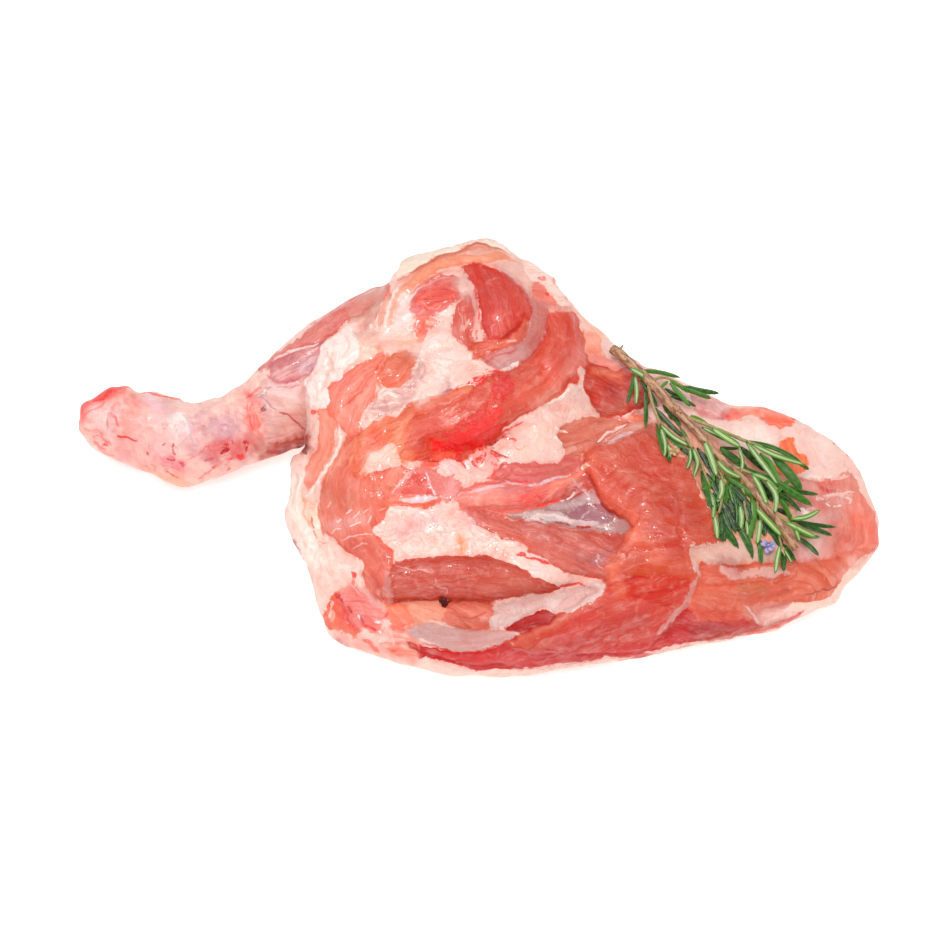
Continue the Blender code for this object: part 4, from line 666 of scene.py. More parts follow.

# Vessels, blood and cuts, and creases darkened with painted shade in them, and painted shadows along edges.
DARK_LINES = (
    Line((226, 176, 130), (514, 446, 518, 450, 523, 448, 525, 443), 1.0, 0.7),
    Line((224, 90, 70), (584, 458, 590, 472, 598, 488, 608, 503, 618, 512), 0.7, 0.4, -0.3),
    Line((246, 170, 140), (303, 492, 306, 502, 304, 512, 309, 522, 314, 530), 1.0, 0.6, -0.4),
    Line((238, 120, 106), (318, 541, 324, 543, 330, 541), 1.0, 0.6, -0.4),
    Line((222, 44, 36), (738, 637, 755, 633, 770, 629, 784, 623, 797, 616, 808, 610), 2.2, 0.85, -0.6),
    Line((226, 60, 56), (833, 442, 836, 443), 1.0, 0.8),
    Line((226, 70, 60), (847, 452, 849, 455), 0.9, 0.8),
    Line((252, 166, 134), (389, 334, 391, 314, 397, 297, 408, 285), 1.6, 0.75),
    Line((250, 158, 130), (380, 334, 381, 316, 385, 300, 394, 286), 1.3, 0.7),
    Line((236, 104, 84), (375, 322, 377, 312, 379, 306), 1.1, 0.7),
    Line((238, 100, 92), (383, 299, 388, 293), 1.0, 0.8),
    Line((253, 170, 142), (395, 341, 405, 343, 420, 340, 426, 334), 2.2, 0.7),
    # Folds in the fat flaps and the left margin: sunk, and darker with painted shade in them.
    Line((238, 196, 180), (325, 348, 330, 362, 330, 376, 321, 394), 1.3, 0.6, -1.0),
    Line((238, 196, 180), (335, 348, 332, 364, 336, 374), 1.1, 0.6, -0.8),
    Line((240, 200, 184), (346, 334, 350, 344, 345, 358), 1.1, 0.6, -0.8),
    Line((236, 196, 176), (312, 384, 318, 392, 316, 402), 1.1, 0.5, -0.7),
    Line((250, 64, 54), (311, 410, 318, 412), 1.8, 0.8),
    Line((240, 204, 186), (296, 462, 299, 480, 294, 500, 298, 520), 1.2, 0.5, -0.9),
    Line((240, 200, 182), (290, 520, 300, 532, 310, 552), 1.1, 0.5, -0.8),
    Line((240, 200, 182), (306, 560, 316, 574, 330, 580), 1.1, 0.45, -0.7),
    # Creases in the sheet, darkened with painted shade.
    Line((196, 52, 38), (668, 484, 674, 488, 680, 486), 1.1, 0.6, -0.5),
    Line((196, 56, 42), (640, 488, 650, 492, 660, 497), 0.9, 0.5, -0.4),
    Line((200, 60, 46), (650, 505, 664, 507, 676, 515), 0.9, 0.5, -0.4),
    Line((200, 60, 46), (640, 470, 650, 478, 654, 488), 0.9, 0.45, -0.4),
    Line((196, 56, 44), (664, 520, 680, 526, 695, 538), 1.0, 0.5, -0.5),
    Line((200, 60, 48), (600, 588, 625, 580, 650, 576), 1.0, 0.5, -0.4),
    Line((206, 70, 56), (628, 530, 638, 520, 640, 508), 0.9, 0.45, -0.4),
    Line((196, 56, 44), (690, 546, 670, 545, 650, 550, 634, 548, 622, 560), 1.1, 0.55, -0.8),
    # Painted shadow along the lower edge of the elbow's fat flap.
    Line((176, 96, 70), (395, 278, 404, 276, 420, 268, 440, 258, 451, 254, 470, 248, 478, 244, 490, 247,
        500, 251, 510, 255), 0.9, 0.6, -0.5),
    Line((222, 24, 44), (474, 286, 476, 293, 478, 301), 1.2, 0.95, -0.4),
    Line((236, 70, 70), (478, 310, 478, 320), 1.0, 0.8, -0.3),
    Line((222, 40, 50), (477, 329, 475, 341), 1.0, 0.9, -0.3),
    Line((186, 26, 22), (521, 321, 518, 328, 512, 333, 505, 337, 499, 339), 1.5, 0.8, -0.6),
    Line((200, 70, 52), (522, 346, 508, 352, 494, 358, 480, 363), 0.8, 0.5, -0.2),
    Line((190, 60, 50), (548, 308, 546, 322, 542, 338, 534, 353, 520, 362), 0.9, 0.5, -0.4),
    Line((206, 84, 66), (340, 409, 355, 396, 375, 373, 384, 357), 1.0, 0.6, -0.6),
    Line((210, 96, 76), (356, 437, 345, 445, 337, 458, 328, 475), 0.8, 0.4, -0.3),
    # Painted shadows under the cut end of the lower muscle.
    Line((150, 40, 32), (438, 597, 420, 600, 400, 602, 388, 606), 0.9, 0.6, -0.7),
    Line((150, 44, 36), (452, 602, 470, 601, 492, 603), 0.9, 0.6, -0.7),
    Line((184, 72, 56), (455, 612, 462, 620, 474, 629), 0.8, 0.6, -0.4),
    Line((184, 72, 56), (457, 613, 470, 618, 488, 612), 0.8, 0.5, -0.4),
    Line((170, 46, 36), (410, 641, 420, 650, 440, 658, 480, 664, 520, 665), 1.1, 0.6, -0.8),
    Line((176, 44, 36), (505, 629, 520, 627, 535, 624, 551, 623), 1.1, 0.7, -0.7),
    Line((214, 34, 34), (560, 588, 574, 583, 586, 587), 1.5, 0.85, -0.4),
    Line((214, 60, 60), (582, 578, 600, 578), 1.0, 0.7, -0.2),
    Line((250, 24, 24), (516, 554, 522, 555, 530, 558), 1.7, 0.95, -0.3),
    Line((226, 44, 40), (528, 557, 538, 561, 552, 564), 1.2, 0.9, -0.3),
    Line((178, 36, 46), (553, 522, 563, 523, 571, 524), 1.1, 0.95, -0.3),
    Line((178, 36, 46), (575, 526, 584, 527, 592, 528), 1.1, 0.95, -0.3),
    Line((255, 70, 52), (533, 508, 548, 504, 561, 500), 1.4, 0.8, -0.2),
    # Painted shadow along the sheet's left edge.
    Line((176, 54, 44), (583, 452, 585, 466, 592, 484, 603, 506, 614, 514, 630, 524), 1.0, 0.6, -0.8),
    Line((176, 6, 8), (490, 446, 495, 443, 500, 439), 1.5, 1.0, -0.6),
    Line((190, 10, 14), (499, 439, 504, 436, 509, 439), 1.3, 0.9, -0.4),
    Line((236, 40, 40), (508, 440, 514, 440, 517, 442), 1.0, 0.9),
    Line((190, 20, 34), (490, 450, 497, 453, 504, 457, 511, 459), 1.5, 0.9, -0.5),
    Line((250, 60, 54), (500, 435, 510, 429, 524, 421), 1.0, 0.9),
    Line((250, 60, 50), (465, 384, 457, 387, 457, 393), 1.1, 0.8),
    Line((250, 36, 34), (488, 372, 494, 370, 502, 371, 505, 369), 1.1, 0.95),
    Line((250, 50, 46), (476, 387, 484, 380, 490, 376), 0.9, 0.8),
    Line((236, 40, 40), (462, 461, 465, 465, 469, 469), 1.1, 0.9, -0.3),
    Line((230, 40, 40), (473, 457, 475, 463, 478, 467), 1.2, 0.9, -0.4),
    Line((226, 40, 40), (475, 458, 480, 457, 483, 455), 1.1, 0.9, -0.4),
    Line((240, 50, 46), (482, 462, 486, 457, 487, 452), 1.0, 0.9, -0.3),
    Line((244, 60, 54), (492, 453, 498, 458, 500, 464), 1.2, 0.8, -0.3),
    Line((250, 80, 70), (497, 464, 494, 472, 488, 480), 1.2, 0.7),
    Line((250, 60, 56), (492, 462, 496, 466), 1.2, 0.8),
    Line((236, 60, 56), (458, 458, 462, 462), 1.6, 0.8),
    Line((236, 44, 40), (462, 452, 474, 448, 484, 446), 1.0, 0.7, -0.3),
    Line((236, 30, 30), (515, 482, 522, 484, 530, 483), 1.1, 0.8),
    Line((206, 84, 70), (462, 404, 470, 413, 474, 418), 1.4, 0.5),
    Line((206, 70, 56), (311, 514, 313, 528, 316, 541), 0.9, 0.7, -0.3),
    Line((206, 26, 28), (336, 594, 338, 600), 2.0, 0.9, -0.3),
    Line((206, 60, 66), (341, 599, 343, 604), 1.6, 0.7, -0.3),
    Line((170, 44, 52), (348, 608, 352, 613), 1.2, 0.85, -0.5),
    Line((190, 74, 80), (360, 618, 364, 624), 1.4, 0.7, -0.3),
    Line((238, 46, 40), (362, 625, 370, 629, 377, 631), 1.5, 0.8, -0.2),
    Line((250, 84, 70), (362, 640, 370, 642, 374, 648, 380, 652), 2.0, 0.7, -0.2),
    Line((250, 24, 22), (353, 571, 354, 578), 2.2, 0.95),
    Line((246, 60, 56), (352, 580, 355, 587), 1.4, 0.7),
    Line((250, 84, 84), (384, 617, 388, 612), 1.8, 0.8),
    Line((196, 90, 70), (700, 639, 745, 631, 790, 618), 0.9, 0.5, -0.3),
    Line((214, 90, 76), (650, 578, 675, 577, 700, 577), 0.9, 0.5, -0.3),
    Line((214, 60, 50), (825, 479, 831, 481), 1.6, 0.7),
    Line((214, 60, 50), (820, 486, 828, 490, 835, 491), 1.3, 0.6),
    Line((240, 74, 70), (538, 277, 545, 279), 1.8, 0.8),
    Line((244, 124, 104), (552, 277, 556, 284), 1.6, 0.8),
    Line((250, 64, 56), (546, 292, 551, 294), 2.2, 0.85),
    Line((248, 124, 104), (562, 296, 567, 300), 1.6, 0.8),
    Line((222, 104, 92), (383, 300, 388, 295), 1.2, 0.6),
    Line((222, 104, 92), (381, 312, 382, 325), 1.2, 0.5),
    # The shank's vessels and marks.
    Line((236, 84, 80), (160, 462, 166, 466, 174, 468, 181, 473), 0.7, 0.6),
    Line((226, 80, 86), (163, 469, 168, 475, 176, 477, 185, 481), 0.6, 0.5),
    Line((230, 76, 76), (184, 466, 190, 461, 197, 455, 205, 448, 213, 444), 0.6, 0.5),
    Line((236, 96, 92), (211, 449, 222, 443, 233, 437), 0.6, 0.5),
    Line((240, 84, 72), (139, 468, 146, 465, 150, 470), 0.6, 0.5),
    Line((236, 80, 70), (149, 462, 154, 467, 158, 474), 0.7, 0.5),
    Line((240, 70, 60), (246, 401, 251, 396, 257, 392, 263, 389), 1.3, 0.6),
    Line((240, 80, 72), (250, 400, 247, 409, 250, 418, 254, 427, 252, 434), 0.7, 0.6),
    Line((244, 100, 90), (256, 410, 259, 420, 258, 430), 0.6, 0.45),
    Line((236, 90, 84), (200, 424, 205, 427), 0.8, 0.6),
    Line((244, 110, 100), (214, 468, 224, 461, 234, 455, 244, 450), 0.6, 0.4),
    Line((246, 96, 84), (84, 418, 90, 411, 99, 407, 106, 400), 1.0, 0.5, -0.7),
    Line((244, 120, 104), (81, 428, 89, 432, 97, 431, 103, 436), 1.0, 0.5, -0.8),
    Line((236, 80, 74), (92, 439, 97, 436, 104, 440, 111, 446), 1.0, 0.6, -0.6),
    Line((240, 110, 104), (118, 402, 111, 410, 107, 420, 106, 430), 1.2, 0.5, -0.6),
    Line((246, 120, 110), (95, 447, 104, 455, 116, 460), 0.8, 0.5, -0.4),
    Line((240, 76, 66), (141, 395, 148, 393, 158, 395, 168, 398, 184, 400), 1.2, 0.8, -0.2),
    Line((236, 50, 44), (101, 400, 106, 394, 112, 390), 1.8, 0.8, -0.3),
    Line((240, 70, 62), (92, 402, 97, 399, 103, 397), 1.3, 0.7, -0.2),
    Line((244, 106, 106), (110, 411, 113, 415, 116, 421, 122, 428), 1.0, 0.8, -0.2),
    Line((224, 46, 56), (114, 436, 123, 436, 128, 438, 134, 441, 139, 444), 1.1, 0.85, -0.2),
    Line((240, 60, 60), (103, 442, 104, 447), 1.3, 0.8),
    Line((240, 76, 64), (93, 440, 98, 447, 106, 453), 1.4, 0.6, -0.2),
    Line((214, 46, 50), (161, 446, 165, 443), 1.1, 0.85),
    Line((220, 56, 60), (171, 443, 172, 450, 175, 456), 1.0, 0.85),
    Line((206, 24, 30), (167, 459, 175, 460), 1.3, 0.9),
    Line((214, 46, 50), (180, 463, 184, 466), 1.3, 0.7),
    Line((240, 66, 66), (165, 470, 170, 476, 181, 479), 1.0, 0.8),
    Line((220, 56, 56), (147, 451, 148, 456), 1.2, 0.8),
    Line((196, 170, 184), (183, 414, 189, 424, 192, 436, 197, 450), 1.1, 0.55),
    Line((184, 24, 30), (220, 454, 226, 452, 231, 450), 1.7, 1.0),
    Line((210, 40, 44), (204, 461, 210, 459, 214, 457), 1.3, 0.9),
    Line((244, 40, 40), (238, 457, 243, 457), 2.6, 0.9),
    Line((238, 64, 56), (226, 460, 236, 458), 1.2, 0.8),
    Line((216, 44, 46), (224, 446, 229, 445), 1.6, 0.85),
    Line((216, 44, 46), (232, 445, 235, 443), 1.2, 0.85),
    Line((206, 34, 38), (243, 444, 249, 442), 1.5, 0.9),
    Line((206, 50, 50), (246, 452, 248, 447), 1.2, 0.85),
    Line((238, 76, 66), (212, 468, 217, 464), 1.1, 0.8),
    Line((238, 76, 66), (228, 470, 231, 467), 1.1, 0.8),
    Line((238, 116, 106), (197, 479, 208, 472, 216, 467), 0.9, 0.7),
    Line((176, 136, 146), (253, 398, 260, 398, 265, 395, 268, 390, 275, 388), 1.2, 0.6),
    Line((220, 124, 134), (275, 388, 290, 387, 303, 386), 1.0, 0.75),
    Line((176, 130, 142), (262, 399, 268, 403, 273, 408, 276, 410), 1.0, 0.6),
    Line((136, 50, 62), (261, 408, 266, 410), 2.5, 0.85),
    Line((186, 62, 76), (276, 410, 284, 413, 290, 418, 297, 424, 303, 429, 308, 433), 1.1, 0.8),
    Line((226, 120, 112), (262, 440, 272, 437, 284, 434, 300, 430), 0.6, 0.5),
    Line((236, 84, 76), (242, 420, 250, 412, 254, 400), 0.9, 0.5),
    Line((236, 90, 84), (252, 414, 252, 424, 254, 432), 0.9, 0.6),
    # Painted shade in the notch under the shank's joint.
    Line((104, 12, 8), (298, 449, 304, 447, 308, 444), 1.9, 0.95, -0.5),
    Line((130, 20, 14), (304, 448, 307, 454), 2.2, 0.9, -0.3),
)


# ---------------------------------------------------------------- places

def sight_axes():
    """The plane's across, up and towards-the-eye directions."""
    across = Vector((1, 0, 0))
    up = Vector((0, math.sin(SIGHT_TILT), math.cos(SIGHT_TILT)))
    return across, up, across.cross(up)


def seen(points):
    """Where points (rows, in metres) are seen, in steps across and down."""
    across, up, towards = (np.array(axis) for axis in sight_axes())
    away = np.asarray(points, float) - np.array(SIGHT_MIDDLE)
    nearer = SIGHT_REACH / (SIGHT_REACH - away @ towards) / SIGHT_STEP
    return np.stack([SIGHT_CENTRE + away @ across * nearer, SIGHT_CENTRE - away @ up * nearer], axis=-1)


def place(across, up, height):
    """The points at these heights that are seen at (across, up), all in mm, as rows in metres."""
    side, rise, towards = (np.array(axis) for axis in sight_axes())
    eye = np.array(SIGHT_MIDDLE) + SIGHT_REACH * towards
    on_plane = (
        np.array(SIGHT_MIDDLE)
        + np.multiply.outer(np.asarray(across, float) * MM, side)
        + np.multiply.outer(np.asarray(up, float) * MM, rise)
    )
    ray = on_plane - eye
    reach = (np.asarray(height, float) * MM - eye[2]) / ray[..., 2]
    return eye + ray * reach[..., None]


def smooth_line(points, closed=False, steps=4):
    """A Catmull-Rom curve through the points, as rows."""
    points = np.asarray(points, float)
    if closed:
        around = np.concatenate([points[-1:], points, points[:2]])
    else:
        around = np.concatenate([2 * points[:1] - points[1:2], points, 2 * points[-1:] - points[-2:-1]])
    before, here, there, after = (around[i : len(around) - 3 + i] for i in range(4))
    t = np.linspace(0, 1, steps, endpoint=False)[:, None, None]
    curve = 0.5 * (
        2 * here
        + (there - before) * t
        + (2 * before - 5 * here + 4 * there - after) * t**2
        + (3 * here - before - 3 * there + after) * t**3
    )
    curve = curve.transpose(1, 0, 2).reshape(-1, points.shape[1])
    return curve if closed else np.concatenate([curve, points[-1:]])


CHUNK = 4_000_000  # points times segments that are worked out at a time


def nearest(points, line):
    """For each point: how far the line is, its side of it (1 or -1), and how far along it, from 0 to 1."""
    start, end = line[:-1], line[1:]
    run = end - start
    length = np.maximum(np.hypot(*run.T), 1e-9)
    reach = np.concatenate([[0], np.cumsum(length)])
    far, side, along = (np.empty(len(points)) for _ in range(3))
    rows = max(1, CHUNK // len(run))
    for first in range(0, len(points), rows):
        part = slice(first, first + rows)
        away = points[part, None, :] - start
        t = np.clip((away * run).sum(-1) / length**2, 0, 1)
        gap = away - t[..., None] * run
        square = (gap**2).sum(-1)
        best = square.argmin(1)
        pick = np.arange(len(best)), best
        far[part] = np.sqrt(square[pick])
        turn = run[best, 0] * away[pick][:, 1] - run[best, 1] * away[pick][:, 0]
        side[part] = np.where(turn >= 0, 1.0, -1.0)
        along[part] = (reach[best] + t[pick] * length[best]) / reach[-1]
    return far, side, along


def close_to(where, line, reach):
    """The rows of the places that lie in the line's box or within this reach of it."""
    low, high = np.min(line, 0) - reach, np.max(line, 0) + reach
    return np.flatnonzero(((where > low) & (where < high)).all(1))


def inside(points, loop):
    """Which points lie inside the closed loop."""
    within = np.zeros(len(points), bool)
    ends = np.roll(loop, -1, axis=0)
    for (x0, y0), (x1, y1) in zip(loop, ends):
        if y0 == y1:
            continue
        crosses = (points[:, 1] < y0) != (points[:, 1] < y1)
        within ^= crosses & (points[:, 0] < x0 + (points[:, 1] - y0) * (x1 - x0) / (y1 - y0))
    return within


def light(colour):
    """A colour from 0 to 255 as linear light."""
    part = np.asarray(colour, float) / 255
    return np.where(part <= 0.04045, part / 12.92, ((part + 0.055) / 1.055) ** 2.4)


def flesh(colour):
    """The colour that flesh has under its gloss, which makes it look this colour from 0 to 255."""
    return np.maximum(light(colour) - SHEEN, 0.004)


def ramp(value, low, high):
    """0 below low, 1 above high, and smooth between them."""
    t = np.clip((value - low) / (high - low), 0, 1)
    return t * t * (3 - 2 * t)


def waves(points, size, count, seed):
    """Soft lumps about this size over the points, from -1 to 1."""
    draw = np.random.default_rng(seed)
    way = draw.normal(size=(count, 3))
    way /= np.linalg.norm(way, axis=1)[:, None]
    scale = 2 * math.pi / (size * draw.uniform(0.7, 1.5, count))
    phase = draw.uniform(0, 2 * math.pi, count)
    return np.sin(points @ (way * scale[:, None]).T + phase).sum(1) / math.sqrt(count / 2) / 1.6


# ---------------------------------------------------------------- the meat's shape and its paint

LAYERS = 4
FAR = 16  # steps past a patch where it no longer counts
OUTSIDE = -FAR * STEP_MM
MEETING = 0.5  # mm by which muscles are drawn wider, so that they meet
GRAIN_GAP = 7.3  # sets the fibres of one muscle apart from those of the next
SHEEN = 0.045  # the light that a wet surface adds


def uneven(where):
    """The places moved a little this way and that, so that every outline drawn over them wanders."""
    flat = np.column_stack([where, np.zeros(len(where))])
    return where + np.stack(
        [1.3 * waves(flat, 26, 12, 30 + k) + 0.75 * waves(flat, 9, 14, 40 + k) for k in range(2)], axis=1
    )


def edge_of(patch, where):
    """How far inside the patch each place is, in mm: less than nothing outside it."""
    outline = smooth_line(patch.points, closed=not patch.width)
    near = close_to(where, outline, FAR + patch.width)
    edge = np.full(len(where), OUTSIDE)
    if patch.width:
        far, _, along = nearest(where[near], outline)
        thick = patch.width * ramp(np.minimum(along, 1 - along), -0.05, 0.18)
        edge[near] = (thick - far) * STEP_MM
    else:
        far, _, _ = nearest(where[near], np.concatenate([outline, outline[:1]]))
        edge[near] = np.where(inside(where[near], outline), far, -far) * STEP_MM
    return np.maximum(edge, OUTSIDE)


def relief_of(where, lumps):
    """How far the meat stands out at each place, in mm."""
    height = np.zeros(len(where))
    lumpy = np.full(len(where), 0.45)
    for patch in PATCHES:
        tissue, edge = patch.tissue, edge_of(patch, where)
        filled = ramp(edge, -0.5, 0.5)
        height += tissue.step * ramp(edge, -0.9, 0.9)
        height += tissue.dome * np.where(edge > 0, 1 - np.exp(-np.maximum(edge, 0) / 4), 0)
        height -= tissue.groove * np.exp(-((edge / 0.9) ** 2))
        lumpy += (tissue.lumps - lumpy) * filled
    for line in PALE_LINES + DARK_LINES:
        if line.depth:
            path = smooth_line(line.points)
            near = close_to(where, path, 12)
            far, _, along = nearest(where[near], path)
            taper = ramp(np.minimum(along, 1 - along), -0.02, 0.15)
            height[near] += line.depth * taper * np.exp(-((far * STEP_MM / (0.55 * line.width + 0.4)) ** 2))
    return height + lumpy * lumps


# Where the solid's outline is a little off: the place, how far it reaches, and how far it moves, in mm.
SWELLS = (
    # Along the shank.
    (84, 406, 8, 1.4), (83, 441, 8, -1.6), (119, 383, 9, -1.8), (138, 387, 9, -1.8), (169, 392, 11, -3.0),
    (213, 401, 10, 1.5), (231, 392, 10, 1.6), (260, 457, 13, 0.6), (280, 450, 13, 3.2), (298, 441, 13, 5.6),
    # Round the shoulder.
    (374, 289, 9, 1.1), (396, 267, 6, -1.2), (523, 257, 8, -1.3), (551, 279, 9, 1.2), (616, 342, 8, -1.4),
    (632, 355, 10, -1.2), (647, 363, 9, -1.9), (873, 518, 16, 1.5), (874, 545, 12, 1.9),
    (849, 586, 13, -2.2), (820, 609, 10, -1.2), (775, 627, 12, 1.2), (440, 671, 24, 1.0), (330, 631, 10, 1.1),
)


def swell_of(where):
    """How far the outline is pushed out at each place, in mm."""
    out = np.zeros(len(where))
    for x, y, reach, far in SWELLS:
        out += far * np.exp(-((where[:, 0] - x) ** 2 + (where[:, 1] - y) ** 2) / reach**2)
    return out


def bundles_of(where):
    """How far the bundles of fibres stand out of the muscles at each place, in mm."""
    painted = Paint(where, colours=False)
    along, across, number = painted.grain.T
    stretched = np.column_stack([along * 0.16, across, number * 3])
    return painted.feel[:, 0] * (0.22 * waves(stretched, 5, 16, 50) + 0.16 * waves(stretched, 2.6, 16, 51))


class Paint:
    """What each point of the meat is made of: a colour under it and one for each layer, and the fibres."""

    def __init__(self, where, colours=True):
        count = len(where)
        self.where = where
        flat = np.column_stack([where, np.zeros(count)])
        self.drift = 0.6 * waves(flat, 16, 14, 60) + 0.5 * waves(flat, 6.5, 14, 61)
        self.tint = np.empty((LAYERS + 1, count, 4))
        self.tint[:, :, :3] = flesh(CREAM)
        self.tint[:, :, 3] = 1
        self.edge = np.full((LAYERS + 1, count), OUTSIDE)
        self.grain = np.stack([where[:, 0] * STEP_MM, where[:, 1] * STEP_MM, np.zeros(count)], axis=1)
        self.feel = np.tile([0.15, 0.5, 0.5], (count, 1))  # fibre, gloss, raggedness
        self.closest, self.second = np.full((2, count), OUTSIDE)  # the two nearest pieces of meat
        for number, patch in enumerate(PATCHES):
            self.lay(patch, number)
        self.tint[0, :, :3] += (flesh(CREAM) - self.tint[0, :, :3]) * ramp(-self.second, 1.0, 2.4)[:, None]
        for stroke in STROKES if colours else ():
            self.brush(stroke)

    def lay(self, patch, number):
        """Lays a patch over what is there."""
        tissue, edge = patch.tissue, edge_of(patch, self.where)
        if tissue.fibre == 1 and patch.layer < 3:
            edge = edge + MEETING
        if tissue.fibre:
            best = edge > self.closest
            self.tint[0, best, :3] = flesh(patch.colour)
            self.second = np.maximum(self.second, np.minimum(edge, self.closest))
            self.closest = np.maximum(self.closest, edge)
        nearer = edge > self.edge[patch.layer]
        self.tint[patch.layer, nearer, :3] = flesh(patch.colour)
        self.tint[patch.layer, nearer, 3] = patch.cover
        self.edge[patch.layer] = np.maximum(self.edge[patch.layer], edge / tissue.soft)
        within = edge > 0
        self.feel[within] = (tissue.fibre, tissue.gloss, tissue.rag)
        if patch.grain:
            path = smooth_line(patch.grain)
            far, side, along = nearest(self.where[within], path)
            reach = np.hypot(*np.diff(path, axis=0).T).sum()
            self.grain[within, 0] = along * reach * STEP_MM
            self.grain[within, 1] = far * side * STEP_MM
            self.grain[within, 2] = number * GRAIN_GAP
        elif tissue.fibre:
            self.grain[within, 2] = number * GRAIN_GAP

    def brush(self, stroke):
        """Tints what lies near a stroke."""
        points = np.asarray(stroke.points, float)
        near = close_to(self.where, points, 2.2 * stroke.radius)
        if len(points) == 1:
            far = np.hypot(*(self.where[near] - points[0]).T)
        else:
            far, _, _ = nearest(self.where[near], smooth_line(points))
        far = np.maximum(far + 0.45 * stroke.radius * self.drift[near], 0)
        share = stroke.strength * np.exp(-((far / stroke.radius) ** 2))[:, None]
        for layer in range(LAYERS + 1):
            tint = self.tint[layer]
            tint[near, :3] += (flesh(stroke.colour) - tint[near, :3]) * share


NO_LINE_MM = 9.0  # how far off a line counts as where there is none


def thin_lines(where, lines):
    """For each place, the nearest line: its side, its distance and half its width in mm, and its colour."""
    trace = np.tile([NO_LINE_MM, NO_LINE_MM, 0.0], (len(where), 1))
    colour = np.tile([0.8, 0.6, 0.5, 0.0], (len(where), 1))
    closest = np.full(len(where), NO_LINE_MM)
    for line in lines:
        path = smooth_line(line.points)
        near = close_to(where, path, 10)
        far, side, along = nearest(where[near], path)
        taper = ramp(np.minimum(along, 1 - along), -0.02, 0.2)
        gap = far * STEP_MM
        better = gap < closest[near]
        rows = near[better]
        closest[rows] = gap[better]
        trace[rows] = np.stack([gap * side, gap, line.width * taper * STEP_MM], axis=1)[better]
        colour[rows, :3] = flesh(line.colour)
        colour[rows, 3] = line.strength
    return trace, colour


class Skin:
    """The points, neighbours and directions of a mesh, as rows."""

    def __init__(self, mesh):
        self.mesh = mesh
        count = len(mesh.vertices)
        self.points = np.empty(count * 3, np.float32)
        mesh.vertices.foreach_get("co", self.points)
        self.points = self.points.reshape(-1, 3).astype(float)
        self.ends = np.empty(len(mesh.edges) * 2, np.int32)
        mesh.edges.foreach_get("vertices", self.ends)
        self.ends = self.ends.reshape(-1, 2)
        self.touching = np.bincount(self.ends.ravel(), minlength=count)[:, None]

    def facing(self):
        """The ways that the points face, as rows."""
        ways = np.empty(len(self.points) * 3, np.float32)
        self.mesh.vertices.foreach_get("normal", ways)
        return ways.reshape(-1, 3).astype(float)

    def blurred(self, values, passes):
        """The values, evened out over each point and its neighbours so many times."""
        a, b = self.ends.T
        for _ in range(passes):
            total = np.stack(
                [
                    np.bincount(a, values[b, i], len(values)) + np.bincount(b, values[a, i], len(values))
                    for i in range(values.shape[1])
                ],
                axis=1,
            )
            values = 0.4 * values + 0.6 * total / np.maximum(self.touching, 1)
        return values

    def outwards(self, passes):
        """The ways that the points face, evened out so many times."""
        ways = self.blurred(self.facing(), passes)
        return ways / np.linalg.norm(ways, axis=1)[:, None]

    def put(self):
        """Moves the mesh's points to where they are here."""
        self.mesh.vertices.foreach_set("co", self.points.astype(np.float32).ravel())
        self.mesh.update()


def fresh_object(name, bm):
    """The shape as an object of the scene."""
    mesh = bpy.data.meshes.new(name)
    bm.to_mesh(mesh)
    bm.free()
    made = bpy.data.objects.new(name, mesh)
    bpy.context.scene.collection.objects.link(made)
    return made


def uv_mesh():
    """An empty mesh whose shapes will have a UV map."""
    bm = bmesh.new()
    bm.loops.layers.uv.new("UVMap")
    return bm


def settled(made, name):
    """The object as its modifiers leave it, as a new mesh."""
    graph = bpy.context.evaluated_depsgraph_get()
    mesh = bpy.data.meshes.new_from_object(made.evaluated_get(graph))
    mesh.name = name
    old = made.data
    made.modifiers.clear()
    made.data = mesh
    bpy.data.meshes.remove(old)
    return mesh


def keep(mesh, name, values, kind):
    """Stores values on the mesh's points under this name."""
    store = mesh.attributes.new(name, kind, "POINT")
    key = {"FLOAT": "value", "FLOAT_VECTOR": "vector", "FLOAT_COLOR": "color"}[kind]
    store.data.foreach_set(key, np.ascontiguousarray(values, np.float32).ravel())


def meat_surface(cell):
    """The shoulder's solid as one even, smooth skin of small cells."""
    bm = bmesh.new()
    bm.from_mesh(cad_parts["lamb_shoulder"].data)
    bmesh.ops.remove_doubles(bm, verts=bm.verts, dist=0.01 * MM)
    bmesh.ops.recalc_face_normals(bm, faces=bm.faces)
    made = fresh_object("shoulder_meat", bm)
    rounded = made.modifiers.new("rounded", "SUBSURF")
    rounded.levels = rounded.render_levels = 1
    even = made.modifiers.new("even", "REMESH")
    even.mode = "VOXEL"
    even.voxel_size = cell
    even.use_smooth_shade = True
    smooth = made.modifiers.new("smooth", "SMOOTH")
    smooth.factor = 0.5
    smooth.iterations = 9
    settled(made, "shoulder_meat")
    return made


BASE_LIFT = 0.5 * MM  # what is lower than this lies flat on the table


def flat_base(mesh):
    """Makes the part that lies on the table one flat face, as it needs no small cells."""
    bm = bmesh.new()
    bm.from_mesh(mesh)
    low = [v for v in bm.verts if v.co.z <= 0 and all(n.other_vert(v).co.z <= 0 for n in v.link_edges)]
    bmesh.ops.delete(bm, geom=low, context="VERTS")
    made = bmesh.ops.holes_fill(bm, edges=[e for e in bm.edges if e.is_boundary], sides=0)["faces"]
    bmesh.ops.triangulate(bm, faces=made)
    for face in bm.faces:
        face.smooth = True
    bm.to_mesh(mesh)
    bm.free()


KEPT_SHARE = 0.75  # of the triangles, once those on the far side are merged


def thin_out(made):
    """Merges small triangles on the side that lies away, which has no fine detail."""
    skin = Skin(made.data)
    away = skin.blurred(skin.facing(), 3) @ np.array(sight_axes()[2]) < -0.1
    group = made.vertex_groups.new(name="far_side")
    group.add(np.flatnonzero(away & (skin.points[:, 2] > 1.5 * MM)).tolist(), 1.0, "REPLACE")
    fewer = made.modifiers.new("fewer", "DECIMATE")
    fewer.ratio = KEPT_SHARE
    fewer.vertex_group = group.name
    fewer.vertex_group_factor = 1000
    settled(made, made.data.name)


